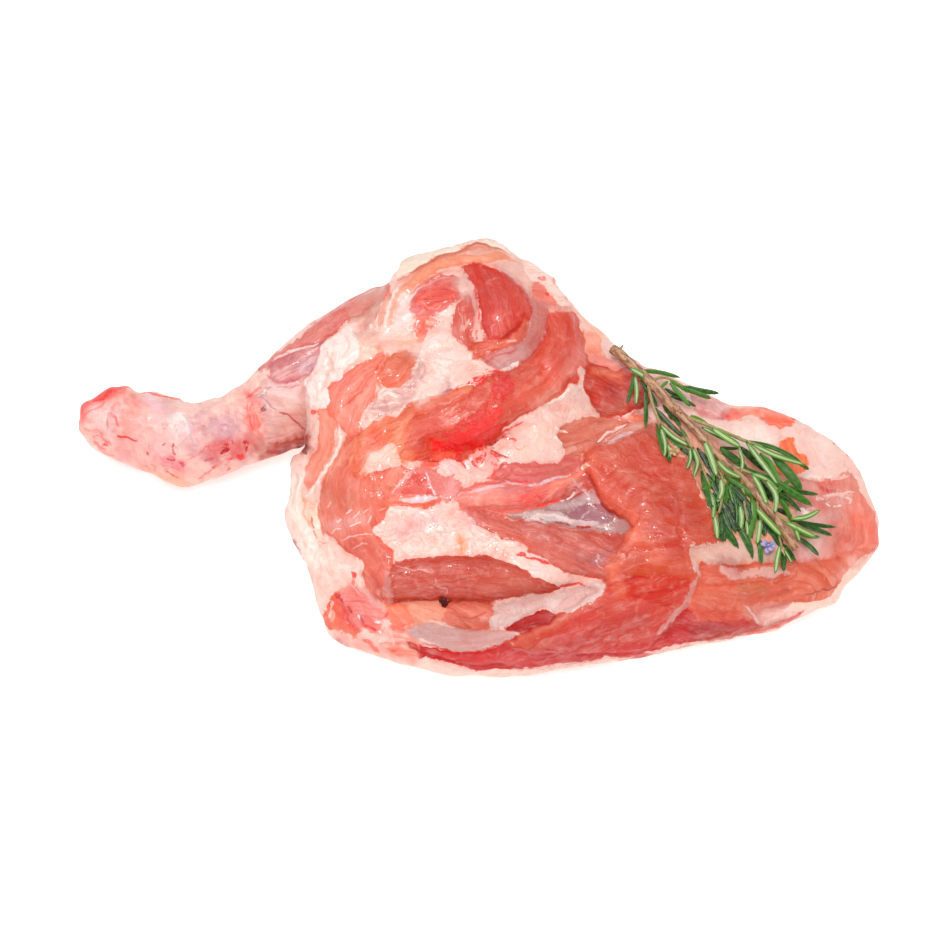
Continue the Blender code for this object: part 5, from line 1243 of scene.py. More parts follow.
def carve(made, relief):
    """Raises muscles, fat and sinews from the smooth skin, and sets the meat flat on the table."""
    skin = Skin(made.data)
    ways = skin.outwards(6)
    lumps = 0.6 * waves(skin.points, 16 * MM, 14, 3) + 0.4 * waves(skin.points, 7 * MM, 14, 4)
    towards = np.array(sight_axes()[2])
    facing = ramp(ways @ towards, 0.0, 0.25)
    where = uneven(seen(skin.points))
    height = (relief_of(where, lumps) + bundles_of(where)) * facing + 0.6 * lumps * (1 - facing)
    height = skin.blurred(height[:, None], 1)[:, 0]
    skin.points += ways * (height * relief * MM * ramp(skin.points[:, 2], 0, 6 * MM))[:, None]
    skin.points += ways * (swell_of(seen(skin.points)) * relief * MM)[:, None]
    skin.points[skin.points[:, 2] < BASE_LIFT, 2] = 0
    skin.put()
    flat_base(made.data)
    thin_out(made)


SHANK_STARTS, SHANK_ENDS = 240, 300  # how far across the shank turns into the shoulder


def paint(made):
    """Stores on the meat's points what they are made of."""
    mesh = made.data
    skin = Skin(mesh)
    ways = skin.outwards(3)
    where = uneven(seen(skin.points))
    towards = np.array(sight_axes()[2])
    painted = Paint(where)
    # There are no fibres right at the line where two grains meet.
    number = painted.grain[:, 2]
    painted.feel[np.unique(skin.ends[number[skin.ends[:, 0]] != number[skin.ends[:, 1]]]), 0] = 0
    # How far each point lies sunk below its neighbours, from which the finish paints shade in hollows and
    # highlights on ridges.
    sunk = ((skin.blurred(skin.points, 24) - skin.points) * ways).sum(1) / MM
    keep(mesh, "sunk", skin.blurred(sunk[:, None], 2)[:, 0], "FLOAT")
    keep(mesh, "shown", ramp(ways @ towards, 0.0, 0.2), "FLOAT")
    for layer in range(LAYERS + 1):
        keep(mesh, f"tint_{layer}", painted.tint[layer], "FLOAT_COLOR")
        if layer:
            keep(mesh, f"edge_{layer}", painted.edge[layer], "FLOAT")
    keep(mesh, "grain", painted.grain, "FLOAT_VECTOR")
    keep(mesh, "feel", painted.feel, "FLOAT_VECTOR")
    for name, lines in (("pale", PALE_LINES), ("dark", DARK_LINES)):
        trace, colour = thin_lines(where, lines)
        keep(mesh, f"{name}_trace", trace, "FLOAT_VECTOR")
        keep(mesh, f"{name}_colour", colour, "FLOAT_COLOR")
    keep(mesh, "shank", ramp(-where[:, 0], -SHANK_ENDS, -SHANK_STARTS), "FLOAT")


# ---------------------------------------------------------------- finishes

class Value:
    """A number that a shader works out, so that + - * / on it add its Math nodes."""

    def __init__(self, finish, socket):
        self.finish = finish
        self.socket = socket

    def maths(self, operation, *others):
        """Another kind of sum, named as Blender's Math node names it."""
        return self.finish.maths(operation, self, *others)

    def __add__(self, other):
        return self.maths("ADD", other)

    __radd__ = __add__

    def __mul__(self, other):
        return self.maths("MULTIPLY", other)

    __rmul__ = __mul__

    def __sub__(self, other):
        return self.maths("SUBTRACT", other)

    def __rsub__(self, other):
        return self.finish.maths("SUBTRACT", other, self)

    def off(self, middle=0.0):
        """How far it is from this middle, to either side."""
        return (self - middle).maths("ABSOLUTE") if middle else self.maths("ABSOLUTE")

    def clear(self, low, high):
        """0 below low, 1 above high, and smooth between them."""
        return self.finish.node(
            "ShaderNodeMapRange",
            {"interpolation_type": "SMOOTHSTEP"},
            {"Value": self, "From Min": low, "From Max": high, "To Min": 0.0, "To Max": 1.0},
        )


class Finish:
    """A material and the nodes in it."""

    def __init__(self, name):
        self.material = bpy.data.materials.new(name)
        self.material.use_nodes = True
        self.tree = self.material.node_tree
        self.tree.nodes.clear()

    def node(self, kind, settings=None, inputs=None, output=0):
        """Adds a node: its settings first, then its sockets' values or links. Gives one of its outputs."""
        made = self.tree.nodes.new(kind)
        for key, value in (settings or {}).items():
            setattr(made, key, value)
        for key, value in (inputs or {}).items():
            socket = made.inputs[key]
            if isinstance(value, Value):
                self.tree.links.new(value.socket, socket)
            elif socket.type == "RGBA" and len(value) == 3:
                socket.default_value = (*value, 1)
            else:
                socket.default_value = value
        return Value(self, made.outputs[output]) if len(made.outputs) else made

    def maths(self, operation, *numbers):
        """A Math node over these numbers."""
        return self.node("ShaderNodeMath", {"operation": operation}, dict(enumerate(numbers)))

    def kept(self, name, output="Fac"):
        """A value, vector or colour stored on the mesh."""
        return self.node("ShaderNodeAttribute", {"attribute_name": name}, output=output)

    def mix(self, share, one, other, blend="MIX"):
        """Two colours mixed."""
        settings = {"data_type": "RGBA", "blend_type": blend}
        return self.node("ShaderNodeMix", settings, {0: share, 6: one, 7: other}, output=2)

    def deeper(self, share, colour, by):
        """The colour, multiplied by another as far as the share goes."""
        return self.mix(share, colour, self.mix(1.0, colour, by, "MULTIPLY"))

    def paler(self, share, colour, by):
        """The colour, screened by another as far as the share goes."""
        return self.mix(share, colour, self.mix(1.0, colour, by, "SCREEN"))

    def noise(self, where, scale, detail=3.0, rough=0.55, warp=0.0):
        """Uneven values from 0 to 1, whose middle is one half."""
        return self.node(
            "ShaderNodeTexNoise",
            {"normalize": True},
            {"Vector": where, "Scale": scale, "Detail": detail, "Roughness": rough, "Distortion": warp},
        )

    def parts(self, vector):
        """The three numbers of a vector."""
        split = self.node("ShaderNodeSeparateXYZ", {}, {0: vector})
        return [Value(self, socket) for socket in split.socket.node.outputs]

    def vector(self, x, y, z):
        """The vector of three numbers."""
        return self.node("ShaderNodeCombineXYZ", {}, {0: x, 1: y, 2: z})

    def place(self):
        """The place on the piece."""
        return self.node("ShaderNodeTexCoord", {}, output="Object")

    def over(self):
        """How far along and how far across its UV map each place lies, and 0."""
        return self.parts(self.node("ShaderNodeUVMap", {"uv_map": "UVMap"}))

    def bump(self, height, distance, strength):
        """Small unevenness over the surface."""
        return self.node("ShaderNodeBump", {}, {"Height": height, "Distance": distance, "Strength": strength})

    def worn(self, inputs, settings=None):
        """The finished material, whose shader has these sockets."""
        shader = self.node("ShaderNodeBsdfPrincipled", settings, inputs)
        self.node("ShaderNodeOutputMaterial", {}, {"Surface": shader})
        return self.material


def tint(colour):
    """A colour from 0 to 255 as a socket takes it."""
    return tuple(light(colour))


def meat_finish(colours):
    """Raw meat: what is painted on it, its fibres, its films and sinews, painted shade in its hollows,
    creases and seams, painted highlights on its ridges, and how wet it is.
    """
    f = Finish("raw_lamb")
    place = f.place()
    fine = f.noise(place, 900, 2, 0.6)
    small = f.noise(place, 330, 3, 0.6)
    clumps = f.noise(place, 150, 4, 0.65, 0.8)
    broad = f.noise(place, 60, 3, 0.55)
    wide = f.noise(place, 22, 2, 0.5)
    along, across, number = f.parts(f.kept("grain", "Vector"))
    fibre, gloss, rag = f.parts(f.kept("feel", "Vector"))
    shown = f.kept("shown")

    # Fibres run along the grain: bands, streaks and threads, each finer than the one before.
    bend = (broad - 0.5) * 1.3 + (clumps - 0.5) * 0.4
    bands = f.noise(f.vector(along * 0.02, across * 0.16 + bend * 0.3, number), 1.0, 3, 0.6, 0.4)
    streaks = f.noise(f.vector(along * 0.035, across * 0.42 + bend * 0.7, number), 1.0, 4, 0.62, 0.3)
    threads = f.noise(f.vector(along * 0.07, across * 1.25 + bend * 1.6, number), 1.0, 3, 0.65, 0.3)
    creases = f.noise(f.vector(along * 0.03, across * 0.33 + bend * 0.6, number + 3.1), 1.0, 2, 0.5, 0.6)

    colour = f.kept("tint_0", "Color")
    ragged = (small - 0.5) * 14 + (fine - 0.5) * 7 + (clumps - 0.5) * 20  # mm, before each tissue's own share
    thin = (streaks * 0.5 + clumps * 0.5).clear(0.40, 0.62)
    seam_shade = None
    for layer in range(1, LAYERS + 1):
        edge = f.kept(f"edge_{layer}") + ragged * rag
        cover = f.kept(f"tint_{layer}", "Alpha")
        cover = cover - (1 - cover) * thin * 1.8
        colour = f.mix(edge.clear(-0.45, 0.55) * cover, colour, f.kept(f"tint_{layer}", "Color"))
        rim = 1 - edge.off().clear(0.0, 1.1)
        seam_shade = rim if seam_shade is None else seam_shade.maths("MAXIMUM", rim)

    pale = f.mix(1.0, colour, (0.66, 0.42, 0.38), "SCREEN")
    deeper = f.mix(1.0, colour, (0.90, 0.52, 0.46), "MULTIPLY")
    film = (bands * 0.6 + clumps * 0.4).clear(0.46, 0.64)
    colour = f.mix(film * fibre * 0.17, colour, pale)
    colour = f.mix((1 - bands.clear(0.34, 0.54)) * fibre * 0.42, colour, deeper)
    colour = f.mix((1 - streaks.clear(0.34, 0.50)) * fibre * 0.40, colour, deeper)
    colour = f.mix(streaks.clear(0.54, 0.72) * fibre * 0.15, colour, pale)
    colour = f.mix((1 - threads.clear(0.34, 0.50)) * fibre * 0.30, colour, deeper)
    colour = f.mix(threads.clear(0.54, 0.70) * (film * 0.6 + 0.4) * fibre * 0.20, colour, pale)
    colour = f.mix((1 - clumps.clear(0.34, 0.46)) * fibre * 0.34, colour, deeper)
    colour = f.mix(clumps.clear(0.55, 0.68) * fibre * 0.16, colour, pale)
    # Creases along the grain, sunk in the bump and darkened: painted shade in them.
    crease = (1 - creases.off(0.5).clear(0.0, 0.014)) * broad.clear(0.44, 0.58)
    colour = f.deeper(crease * fibre * 0.42, colour, (0.74, 0.36, 0.32))

    # Painted shade: hollows are deeper in colour. Painted highlight: ridges are paler.
    sunk = f.kept("sunk")
    colour = f.deeper(sunk.clear(0.02, 0.30) * 0.45, colour, (0.88, 0.55, 0.50))
    colour = f.paler((0 - sunk).clear(0.02, 0.20) * 0.18, colour, (0.16, 0.14, 0.13))

    # Soft mottling, warmer and pinker in places, and a faint darker line round each piece of tissue: painted
    # shade where tissues meet.
    colour = f.deeper((broad - 0.5).clear(0.02, 0.22) * 0.22, colour, (1.0, 0.80, 0.76))
    colour = f.deeper((0.5 - small).clear(0.04, 0.20) * 0.20, colour, (0.97, 0.80, 0.78))
    colour = f.deeper(seam_shade * 0.05, colour, (0.93, 0.72, 0.68))

    # Fat has fine pink wrinkles, sunk in the bump and darkened, partly their own colour and partly painted
    # shade in their creases, and small pale lumps.
    fatty = 1 - fibre.clear(0.05, 0.5)
    crumple = f.noise(place, 110, 4, 0.62, 1.2)
    wrinkle = 1 - crumple.off(0.5).clear(0.0, 0.035)
    flushed = (crumple * 0.5 + broad * 0.5).clear(0.44, 0.62)
    grains = (small * 0.6 + clumps * 0.4).clear(0.54, 0.66)
    colour = f.deeper(wrinkle * fatty * wide.clear(0.30, 0.6) * 0.55, colour, (0.97, 0.70, 0.64))
    colour = f.deeper(flushed * fatty * 0.40, colour, (1.0, 0.80, 0.76))
    colour = f.paler(grains * fatty * 0.35, colour, (0.4, 0.34, 0.32))

    # Thin sinews, vessels and cuts, painted glints and highlights, and creases darkened with painted shade
    # and painted shadows along edges.
    for name, least in (("pale", 0.05), ("dark", 0.0)):
        side, near, width = f.parts(f.kept(f"{name}_trace", "Vector"))
        wavy = side + (small - 0.5) * 1.1 + (clumps - 0.5) * 1.1
        inner = 1 - (wavy.off() - width).clear(-0.25, 0.35)
        mask = inner * (1 - near.clear(1.3, 2.2)) * width.clear(least, 0.3)
        broken = (fine * 0.5 + clumps * 0.6).clear(0.38, 0.60) * 0.7 + 0.3
        drawn, strength = (f.kept(f"{name}_colour", output) for output in ("Color", "Alpha"))
        colour = f.mix(mask * broken * strength, colour, drawn)

    # The outer side, which has the thin fell over fat, with muscle showing pink through it.
    patches = (wide * 0.62 + broad * 0.38).clear(0.44, 0.60)
    cover = f.mix(patches, tint(colours.cover), tint(colours.cover_pink))
    cover = f.mix((wide * 0.3 + small * 0.7).clear(0.52, 0.68) * 0.5, cover, tint((255, 240, 232)))
    cells = {"Vector": place, "Scale": 34.0, "Randomness": 1.0}
    veins = f.node("ShaderNodeTexVoronoi", {"feature": "DISTANCE_TO_EDGE"}, cells)
    vein = 1 - (veins + (small - 0.5) * 0.05).clear(0.0, 0.035)
    cover = f.mix(vein * broad.clear(0.5, 0.62) * 0.35, cover, tint((226, 120, 112)))
    leg = f.mix(broad.clear(0.40, 0.62), tint((250, 200, 188)), tint((236, 150, 140)))
    cover = f.mix(f.kept("shank"), cover, leg)
    colour = f.mix(shown, cover, colour)
    colour = f.mix(1.0, colour, (colours.brightness,) * 3, "MULTIPLY")

    # A wet skin over fibres and grain.
    bumps = (
        ((streaks - 0.5) * 0.7 + (threads - 0.5) * 0.22 - crease * 0.12) * (fibre * shown)
        + small * 0.22
        + fine * 0.12
        + clumps * 0.45
        - wrinkle * fatty * 0.10
    )
    dry = f.noise(place, 130, 3, 0.6)
    wet = (dry * 0.5 + small * 0.5).clear(0.44, 0.56) * (gloss * 0.6 + 0.4) * colours.wetness
    specks = (dry * 0.25 + f.noise(place, 1500, 2, 0.5) * 0.75).clear(0.54, 0.60)
    film = specks * (gloss * 0.8 + 0.4) * (1 - f.kept("shank") * 0.7) * colours.wetness
    return f.worn(
        {
            "Base Color": colour,
            "Roughness": 0.54 + (dry - 0.5) * 0.2 - wet * 0.45,
            "Normal": f.bump(bumps, 1.3 * MM, 1.0),
            "Coat Weight": film,
            "Coat Roughness": 0.15,
            "Coat IOR": 1.38,
            "IOR": 1.4,
            "Specular IOR Level": 0.32,
            "Subsurface Weight": 0.12,
            "Subsurface Radius": (1.0, 0.35, 0.25),
            "Subsurface Scale": 2.2 * MM,
        },
        {"subsurface_method": "RANDOM_WALK"},
    )


def leaf_finish(colours):
    """Rosemary leaves: dark and glossy above with a sunk midrib, pale and downy beneath, and lighter or
    darker with painted light and shade.
    """
    f = Finish("rosemary_leaf")
    place = f.place()
    u, v, _ = f.over()
    shade = f.kept("shade")
    under = f.kept("under")
    mottle = f.noise(place, 420, 3, 0.6)
    streak = f.noise(f.vector(u * 2.2, v * 11.0, shade * 30), 1.0, 3, 0.6)
    off = v.off(0.5)  # from the midrib
    # Painted light and shade: the tone runs from deep green for leaves in the shade to light green for lit
    # ones, and lit leaves get paler margins.
    green = f.mix(shade.clear(0.0, 0.35), tint(colours.leaf_deep), tint(colours.leaf_dark))
    green = f.mix(shade.clear(0.3, 0.9), green, tint(colours.leaf_light))
    green = f.mix(mottle.clear(0.40, 0.70) * 0.30, green, tint((102, 158, 48)))
    green = f.mix(off.clear(0.20, 0.46) * shade * 0.55, green, tint((106, 168, 50)))
    green = f.mix((1 - off.clear(0.0, 0.07)) * 0.5, green, tint((16, 52, 4)))
    green = f.mix(u.clear(0.93, 1.0) * 0.5, green, tint((130, 120, 60)))
    pale = f.mix(streak.clear(0.3, 0.7), tint((170, 186, 120)), tint((208, 216, 168)))
    pale = f.mix((1 - off.clear(0.0, 0.06)) * 0.45, pale, tint((150, 184, 100)))
    band = (1 - off.clear(0.13, 0.25)) * u.clear(0.02, 0.12) * (1 - u.clear(0.90, 0.98))
    colour = f.mix(under * band, green, pale)
    down = (1 - off.clear(0.0, 0.12)) * -0.7 + streak * 0.3
    return f.worn(
        {
            "Base Color": colour,
            "Roughness": 0.34 + mottle * 0.16 + under * band * 0.3,
            "Normal": f.bump(down, 0.35 * MM, 0.8),
            "Coat Weight": 0.1,
            "Coat Roughness": 0.25,
            "Specular IOR Level": 0.3,
            "Subsurface Weight": 0.05,
            "Subsurface Radius": (0.4, 1.0, 0.2),
            "Subsurface Scale": 0.6 * MM,
        }
    )


def bark_finish(colours):
    """Woody rosemary: brown bark with long cracks, paler where it is cut."""
    f = Finish("rosemary_bark")
    u, v, _ = f.over()
    place = f.place()
    green = f.kept("green")
    long = f.noise(f.vector(u * 26.0, v * 9.0, 0.0), 1.0, 4, 0.65, 0.4)
    small = f.noise(place, 700, 3, 0.6)
    bark = f.mix(long.clear(0.35, 0.65), tint(colours.bark_dark), tint(colours.bark_light))
    bark = f.mix(small.clear(0.5, 0.75) * 0.4, bark, tint((206, 176, 140)))
    bark = f.mix(green, bark, tint((150, 158, 84)))
    bump = f.bump(long * 0.7 + small * 0.3, 0.5 * MM, 0.9)
    return f.worn({"Base Color": bark, "Roughness": 0.62 + small * 0.2, "Normal": bump})


def petal_finish(dark, pale):
    """Petals: pale at the rim and streaked towards the heart."""
    f = Finish("rosemary_petal")
    u, v, _ = f.over()
    streak = f.noise(f.vector(u * 2.0, v * 12.0, 0.0), 1.0, 3, 0.6)
    colour = f.mix(u.clear(0.1, 0.9) * 0.6 + streak * 0.4, tint(dark), tint(pale))
    return f.worn({"Base Color": colour, "Roughness": 0.5 + streak * 0.2})


def floor_finish(colour):
    """Plain pale card."""
    f = Finish("pale_card")
    grain = f.noise(f.place(), 300, 2, 0.5)
    shade = f.mix(grain * 0.02, tuple(colour), (0.8, 0.8, 0.8))
    return f.worn(
        {
            "Base Color": shade,
            "Roughness": 0.7 + grain * 0.1,
            "Specular IOR Level": 0.2,
            "Emission Color": (1, 1, 1, 1),
            "Emission Strength": 0.45,
        }
    )


# ---------------------------------------------------------------- the sprig

# The stem: across, up, height and radius in mm.
STEM = (
    (70, 62, 58.5, 2.5), (76, 57, 58, 2.6), (84, 50, 57.5, 2.3), (91, 43, 57, 2.6), (99, 34, 56.8, 2.5),
    (106, 27, 56.5, 2.2), (114, 19, 56, 2.1), (121, 10, 55.2, 1.9), (131, 1, 53.8, 1.8), (139, -7, 52.2, 1.8),
    (145, -15, 50.8, 1.9), (151, -23, 49, 1.9), (157, -31, 46.5, 2), (162, -38, 44, 2.1),
)

# Side shoots: their radius in mm, how far over the stem they run, and their line as it is seen.
SHOOTS = (
    (0.75, 0.5, (652, 380), (664, 377), (674, 381), (683, 386)),
    (0.75, -0.5, (648, 383), (652, 402), (658, 418), (662, 430)),
    (0.95, 0.6, (689, 418), (705, 424), (722, 431), (736, 437)),
    (0.85, 0.8, (736, 437), (748, 442), (762, 447)),
    (0.75, -0.6, (686, 438), (692, 449), (699, 462), (704, 476), (709, 490)),
    (0.8, 0.4, (729, 464), (745, 471), (760, 477), (772, 485)),
    (0.8, 0.6, (776, 515), (786, 521), (798, 527), (812, 534)),
    (0.7, -0.8, (717, 468), (722, 480), (722, 500), (718, 520)),
    (0.7, -0.8, (741, 482), (744, 496), (745, 512), (747, 524)),
    (0.7, -0.8, (757, 497), (758, 508), (762, 524)),
    (0.7, -0.6, (772, 516), (777, 530), (782, 548)),
)


class Leaf:
    """One leaf: its width in steps, how lit it is from 0 to 1 as painted light and shade, whether its
    underside shows, its line.
    """

    def __init__(self, width, tone, pale, *row):
        self.width = width
        self.tone = tone
        self.pale = pale
        self.points = pairs(row)


LEAVES = (
    # Between and behind the others.
    Leaf(9.0, 0.0, 0, 716, 506, 726, 521, 735, 540),
    Leaf(7.0, 0.1, 0, 727, 485, 740, 499, 749, 511, 756, 524),
    Leaf(6.5, 0.1, 0, 706, 478, 714, 494, 722, 510),
    Leaf(6.5, 0.1, 0, 742, 506, 747, 524, 744, 540),
    Leaf(7.0, 0.15, 0, 762, 522, 772, 536, 783, 548),
    Leaf(6.0, 0.3, 0, 722, 534, 729, 545, 737, 555),
    Leaf(5.0, 0.2, 0, 716, 538, 719, 546, 722, 553),
    Leaf(6.0, 0.35, 0, 737, 530, 745, 546, 751, 561),
    Leaf(6.0, 0.35, 0, 720, 448, 732, 457, 746, 468),
    Leaf(9.0, 0.45, 0, 772, 455, 784, 467, 794, 479, 802, 490),
    Leaf(6.5, 0.45, 0, 728, 482, 733, 500, 736, 518, 735, 536),
    Leaf(5.0, 0.5, 0, 725, 486, 726, 499, 723, 508, 718, 514),
    Leaf(5.5, 0.4, 0, 701, 474, 704, 490, 707, 505, 709, 519),
    Leaf(5.5, 0.5, 0, 715, 473, 712, 484, 707, 491, 701, 497),
    Leaf(7.0, 0.55, 0, 751, 497, 754, 513, 751, 530, 745, 547),
    Leaf(6.5, 0.55, 0, 724, 475, 738, 485, 750, 493, 761, 500),
    # Deepest, in the shade of the others.
    Leaf(5.5, 0.0, 0, 680, 452, 691, 461, 700, 471),
    Leaf(6.0, 0.0, 0, 697, 450, 706, 465, 713, 480, 720, 493),
    Leaf(5.0, 0.05, 0, 722, 449, 735, 458, 748, 469),
    Leaf(6.0, 0.0, 0, 735, 498, 745, 518, 752, 544),
    Leaf(5.0, 0.0, 0, 712, 500, 719, 514, 724, 528),
    Leaf(6.0, 0.0, 0, 756, 513, 762, 527, 764, 543),
    Leaf(6.5, 0.0, 0, 728, 503, 732, 518, 733, 534),
    Leaf(6.0, 0.0, 0, 744, 503, 749, 517, 750, 533),
    Leaf(5.0, 0.0, 0, 700, 455, 705, 464, 708, 474),
    Leaf(5.5, 0.05, 0, 772, 478, 780, 490, 786, 502),
    Leaf(6.0, 0.0, 0, 760, 480, 768, 492, 773, 503),
    Leaf(7.0, 0.05, 0, 733, 487, 743, 502, 751, 518),
    Leaf(6.5, 0.0, 0, 721, 508, 729, 523, 735, 542),
    Leaf(5.0, 0.05, 0, 724, 512, 731, 528, 740, 540),
    Leaf(4.0, 0.1, 0, 706, 515, 714, 517, 723, 516),
    Leaf(4.5, 0.05, 0, 776, 508, 784, 514, 792, 519),
    Leaf(6.0, 0.1, 0, 741, 447, 752, 458, 766, 471),
    Leaf(7.0, 0.1, 0, 769, 451, 784, 467, 795, 480, 802, 491),
    # Dark.
    Leaf(5.5, 0.15, 0, 655, 408, 667, 424, 682, 441),
    Leaf(3.5, 0.15, 0, 665, 388, 674, 394, 683, 400),
    Leaf(3.2, 0.15, 0, 671, 396, 684, 400, 696, 406),
    Leaf(3.5, 0.2, 0, 667, 459, 668, 466, 669, 473),
    Leaf(4.0, 0.2, 0, 663, 405, 669, 413, 672, 421),
    Leaf(4.2, 0.2, 0, 673, 414, 677, 421, 680, 429),
    Leaf(2.8, 0.2, 0, 720, 447, 730, 448, 739, 448),
    Leaf(3.6, 0.2, 0, 797, 461, 803, 465, 809, 469),
    Leaf(4.0, 0.3, 0, 785, 485, 800, 491, 818, 494),
    Leaf(3.2, 0.2, 0, 782, 484, 787, 486, 792, 488),
    Leaf(4.6, 0.2, 0, 776, 491, 788, 498, 801, 511),
    Leaf(3.4, 0.3, 0, 779, 497, 784, 501, 789, 506),
    Leaf(4.2, 0.3, 0, 702, 479, 706, 500, 711, 523),
    Leaf(3.8, 0.2, 0, 718, 519, 720, 536, 720, 552),
    Leaf(3.8, 0.15, 0, 720, 519, 723, 538, 724, 553),
    Leaf(5.2, 0.2, 0, 721, 518, 727, 536, 738, 555),
    Leaf(4.8, 0.3, 0, 731, 491, 735, 512, 735, 536),
    Leaf(6.5, 0.2, 0, 762, 520, 772, 534, 781, 551),
    Leaf(4.0, 0.3, 0, 746, 538, 750, 551, 752, 563),
    Leaf(4.2, 0.15, 0, 736, 534, 742, 540, 748, 547),
    Leaf(4.0, 0.25, 0, 781, 551, 783, 560, 783, 570),
    Leaf(3.6, 0.3, 0, 786, 555, 785, 563, 784, 571),
    Leaf(3.8, 0.2, 0, 783, 544, 790, 552, 796, 561),
    Leaf(3.6, 0.25, 0, 791, 520, 812, 524, 836, 527),
    Leaf(4.2, 0.25, 0, 799, 523, 816, 529, 832, 535),
    Leaf(5.0, 0.25, 0, 799, 537, 810, 546, 819, 555),
    Leaf(4.4, 0.35, 0, 683, 386, 700, 390, 719, 393),
    Leaf(4.0, 0.3, 0, 752, 484, 756, 494, 758, 506),
    # Lit.
    Leaf(3.8, 0.55, 0, 640, 370, 660, 372, 680, 377),
    Leaf(3.8, 0.45, 0, 634, 374, 632, 387, 627, 405),
    Leaf(4.6, 0.35, 0, 641, 380, 649, 391, 658, 406),
    Leaf(4.4, 0.4, 0, 645, 390, 646, 410, 645, 432),
    Leaf(3.0, 0.8, 0, 668, 381, 664, 384, 660, 388),
    Leaf(4.2, 0.65, 0, 670, 380, 680, 385, 689, 392),
    Leaf(4.4, 0.6, 0, 670, 383, 680, 394, 690, 406),
    Leaf(4.4, 0.5, 0, 684, 388, 698, 393, 711, 398),
    Leaf(4.2, 0.5, 0, 657, 425, 660, 444, 663, 462),
    Leaf(4.2, 0.5, 0, 666, 436, 678, 447, 690, 456),
    Leaf(3.6, 0.5, 0, 680, 427, 686, 437, 690, 451),
    Leaf(2.6, 0.8, 0, 691, 415, 700, 419, 709, 425),
    Leaf(4.6, 0.45, 0, 744, 440, 770, 446, 790, 455, 802, 463),
    Leaf(5.2, 0.65, 0, 760, 453, 771, 464, 777, 477, 783, 488),
    Leaf(4.4, 0.4, 0, 735, 464, 754, 472, 773, 479),
    Leaf(5.6, 0.5, 0, 725, 476, 745, 488, 762, 500),
    Leaf(7.0, 0.5, 0, 770, 478, 790, 491, 812, 505),
    Leaf(4.6, 0.6, 0, 780, 499, 786, 508, 792, 522),
    Leaf(4.2, 0.55, 0, 728, 480, 724, 498, 717, 515),
    Leaf(4.2, 0.7, 0, 714, 474, 711, 486, 702, 497),
    Leaf(5.8, 0.7, 0, 752, 499, 754, 515, 750, 530, 746, 547),
    Leaf(5.0, 0.5, 0, 759, 539, 760, 552, 761, 567),
    Leaf(3.8, 0.6, 0, 795, 529, 807, 535, 820, 537),
    Leaf(4.6, 0.6, 0, 776, 494, 782, 486, 790, 480),
    # Pale undersides.
    Leaf(5.2, 0.6, 1, 630, 368, 641, 374, 652, 383),
    Leaf(4.4, 0.5, 1, 635, 375, 637, 390, 636, 405),
    Leaf(5.0, 0.5, 1, 660, 424, 672, 436, 689, 446),
    Leaf(5.0, 0.5, 1, 661, 427, 665, 445, 664, 463),
    Leaf(4.0, 0.6, 1, 668, 444, 670, 454, 669, 462),
    Leaf(4.2, 0.4, 1, 690, 447, 690, 462, 686, 476),
    Leaf(5.2, 0.5, 1, 693, 447, 698, 463, 693, 483),
    Leaf(6.4, 0.6, 1, 704, 441, 711, 458, 717, 477),
    Leaf(5.2, 0.6, 1, 717, 460, 727, 470, 742, 478),
    Leaf(4.2, 0.3, 1, 702, 427, 715, 434, 729, 441),
    Leaf(6.4, 0.7, 1, 712, 428, 725, 437, 741, 447),
    Leaf(5.0, 0.6, 1, 752, 444, 775, 455, 806, 465),
    Leaf(5.6, 0.5, 1, 746, 441, 757, 456, 768, 470, 779, 486),
    Leaf(4.4, 0.5, 1, 738, 448, 742, 460, 741, 473),
    Leaf(6.0, 0.6, 1, 752, 474, 760, 488, 768, 508),
    Leaf(4.6, 0.6, 1, 751, 473, 766, 479, 779, 491),
    Leaf(5.2, 0.6, 1, 766, 480, 776, 495, 775, 514),
    Leaf(5.2, 0.6, 1, 709, 490, 713, 507, 712, 527),
    Leaf(5.6, 0.6, 1, 721, 478, 722, 492, 717, 505),
    Leaf(4.8, 0.6, 1, 714, 519, 716, 534, 717, 546),
    Leaf(5.2, 0.6, 1, 740, 505, 742, 519, 740, 534),
    Leaf(3.6, 0.6, 1, 746, 520, 747, 530, 748, 543),
    Leaf(5.4, 0.7, 1, 756, 508, 768, 521, 782, 536),
    Leaf(4.8, 0.6, 1, 760, 519, 759, 532, 757, 544),
    Leaf(5.4, 0.6, 1, 780, 545, 777, 558, 775, 573),
    Leaf(3.4, 0.4, 1, 784, 549, 788, 556, 792, 563),
    Leaf(4.2, 0.6, 1, 790, 522, 796, 530, 800, 542),
    Leaf(4.8, 0.7, 1, 786, 522, 800, 529, 816, 537),
    Leaf(4.4, 0.7, 1, 791, 519, 806, 517, 820, 510),
)
SPRIG_CLEARANCE = 0.4  # mm between the sprig and the meat


def stem_height(across, up):
    """The stem's height abreast of a place, in mm."""
    rows = np.array(STEM, float)
    return float(np.interp(across - up, rows[:, 0] - rows[:, 1], rows[:, 2]))


def seen_at(x, y):
    """A place in steps as it is seen, in mm across and up."""
    return (x - SIGHT_CENTRE) * STEP_MM, (SIGHT_CENTRE - y) * STEP_MM


def lifted(x, y, lift):
    """The point seen at (x, y), this far over the height of the stem abreast of it, in mm."""
    across, up = seen_at(x, y)
    return Vector(place(across, up, stem_height(across, up) + lift))


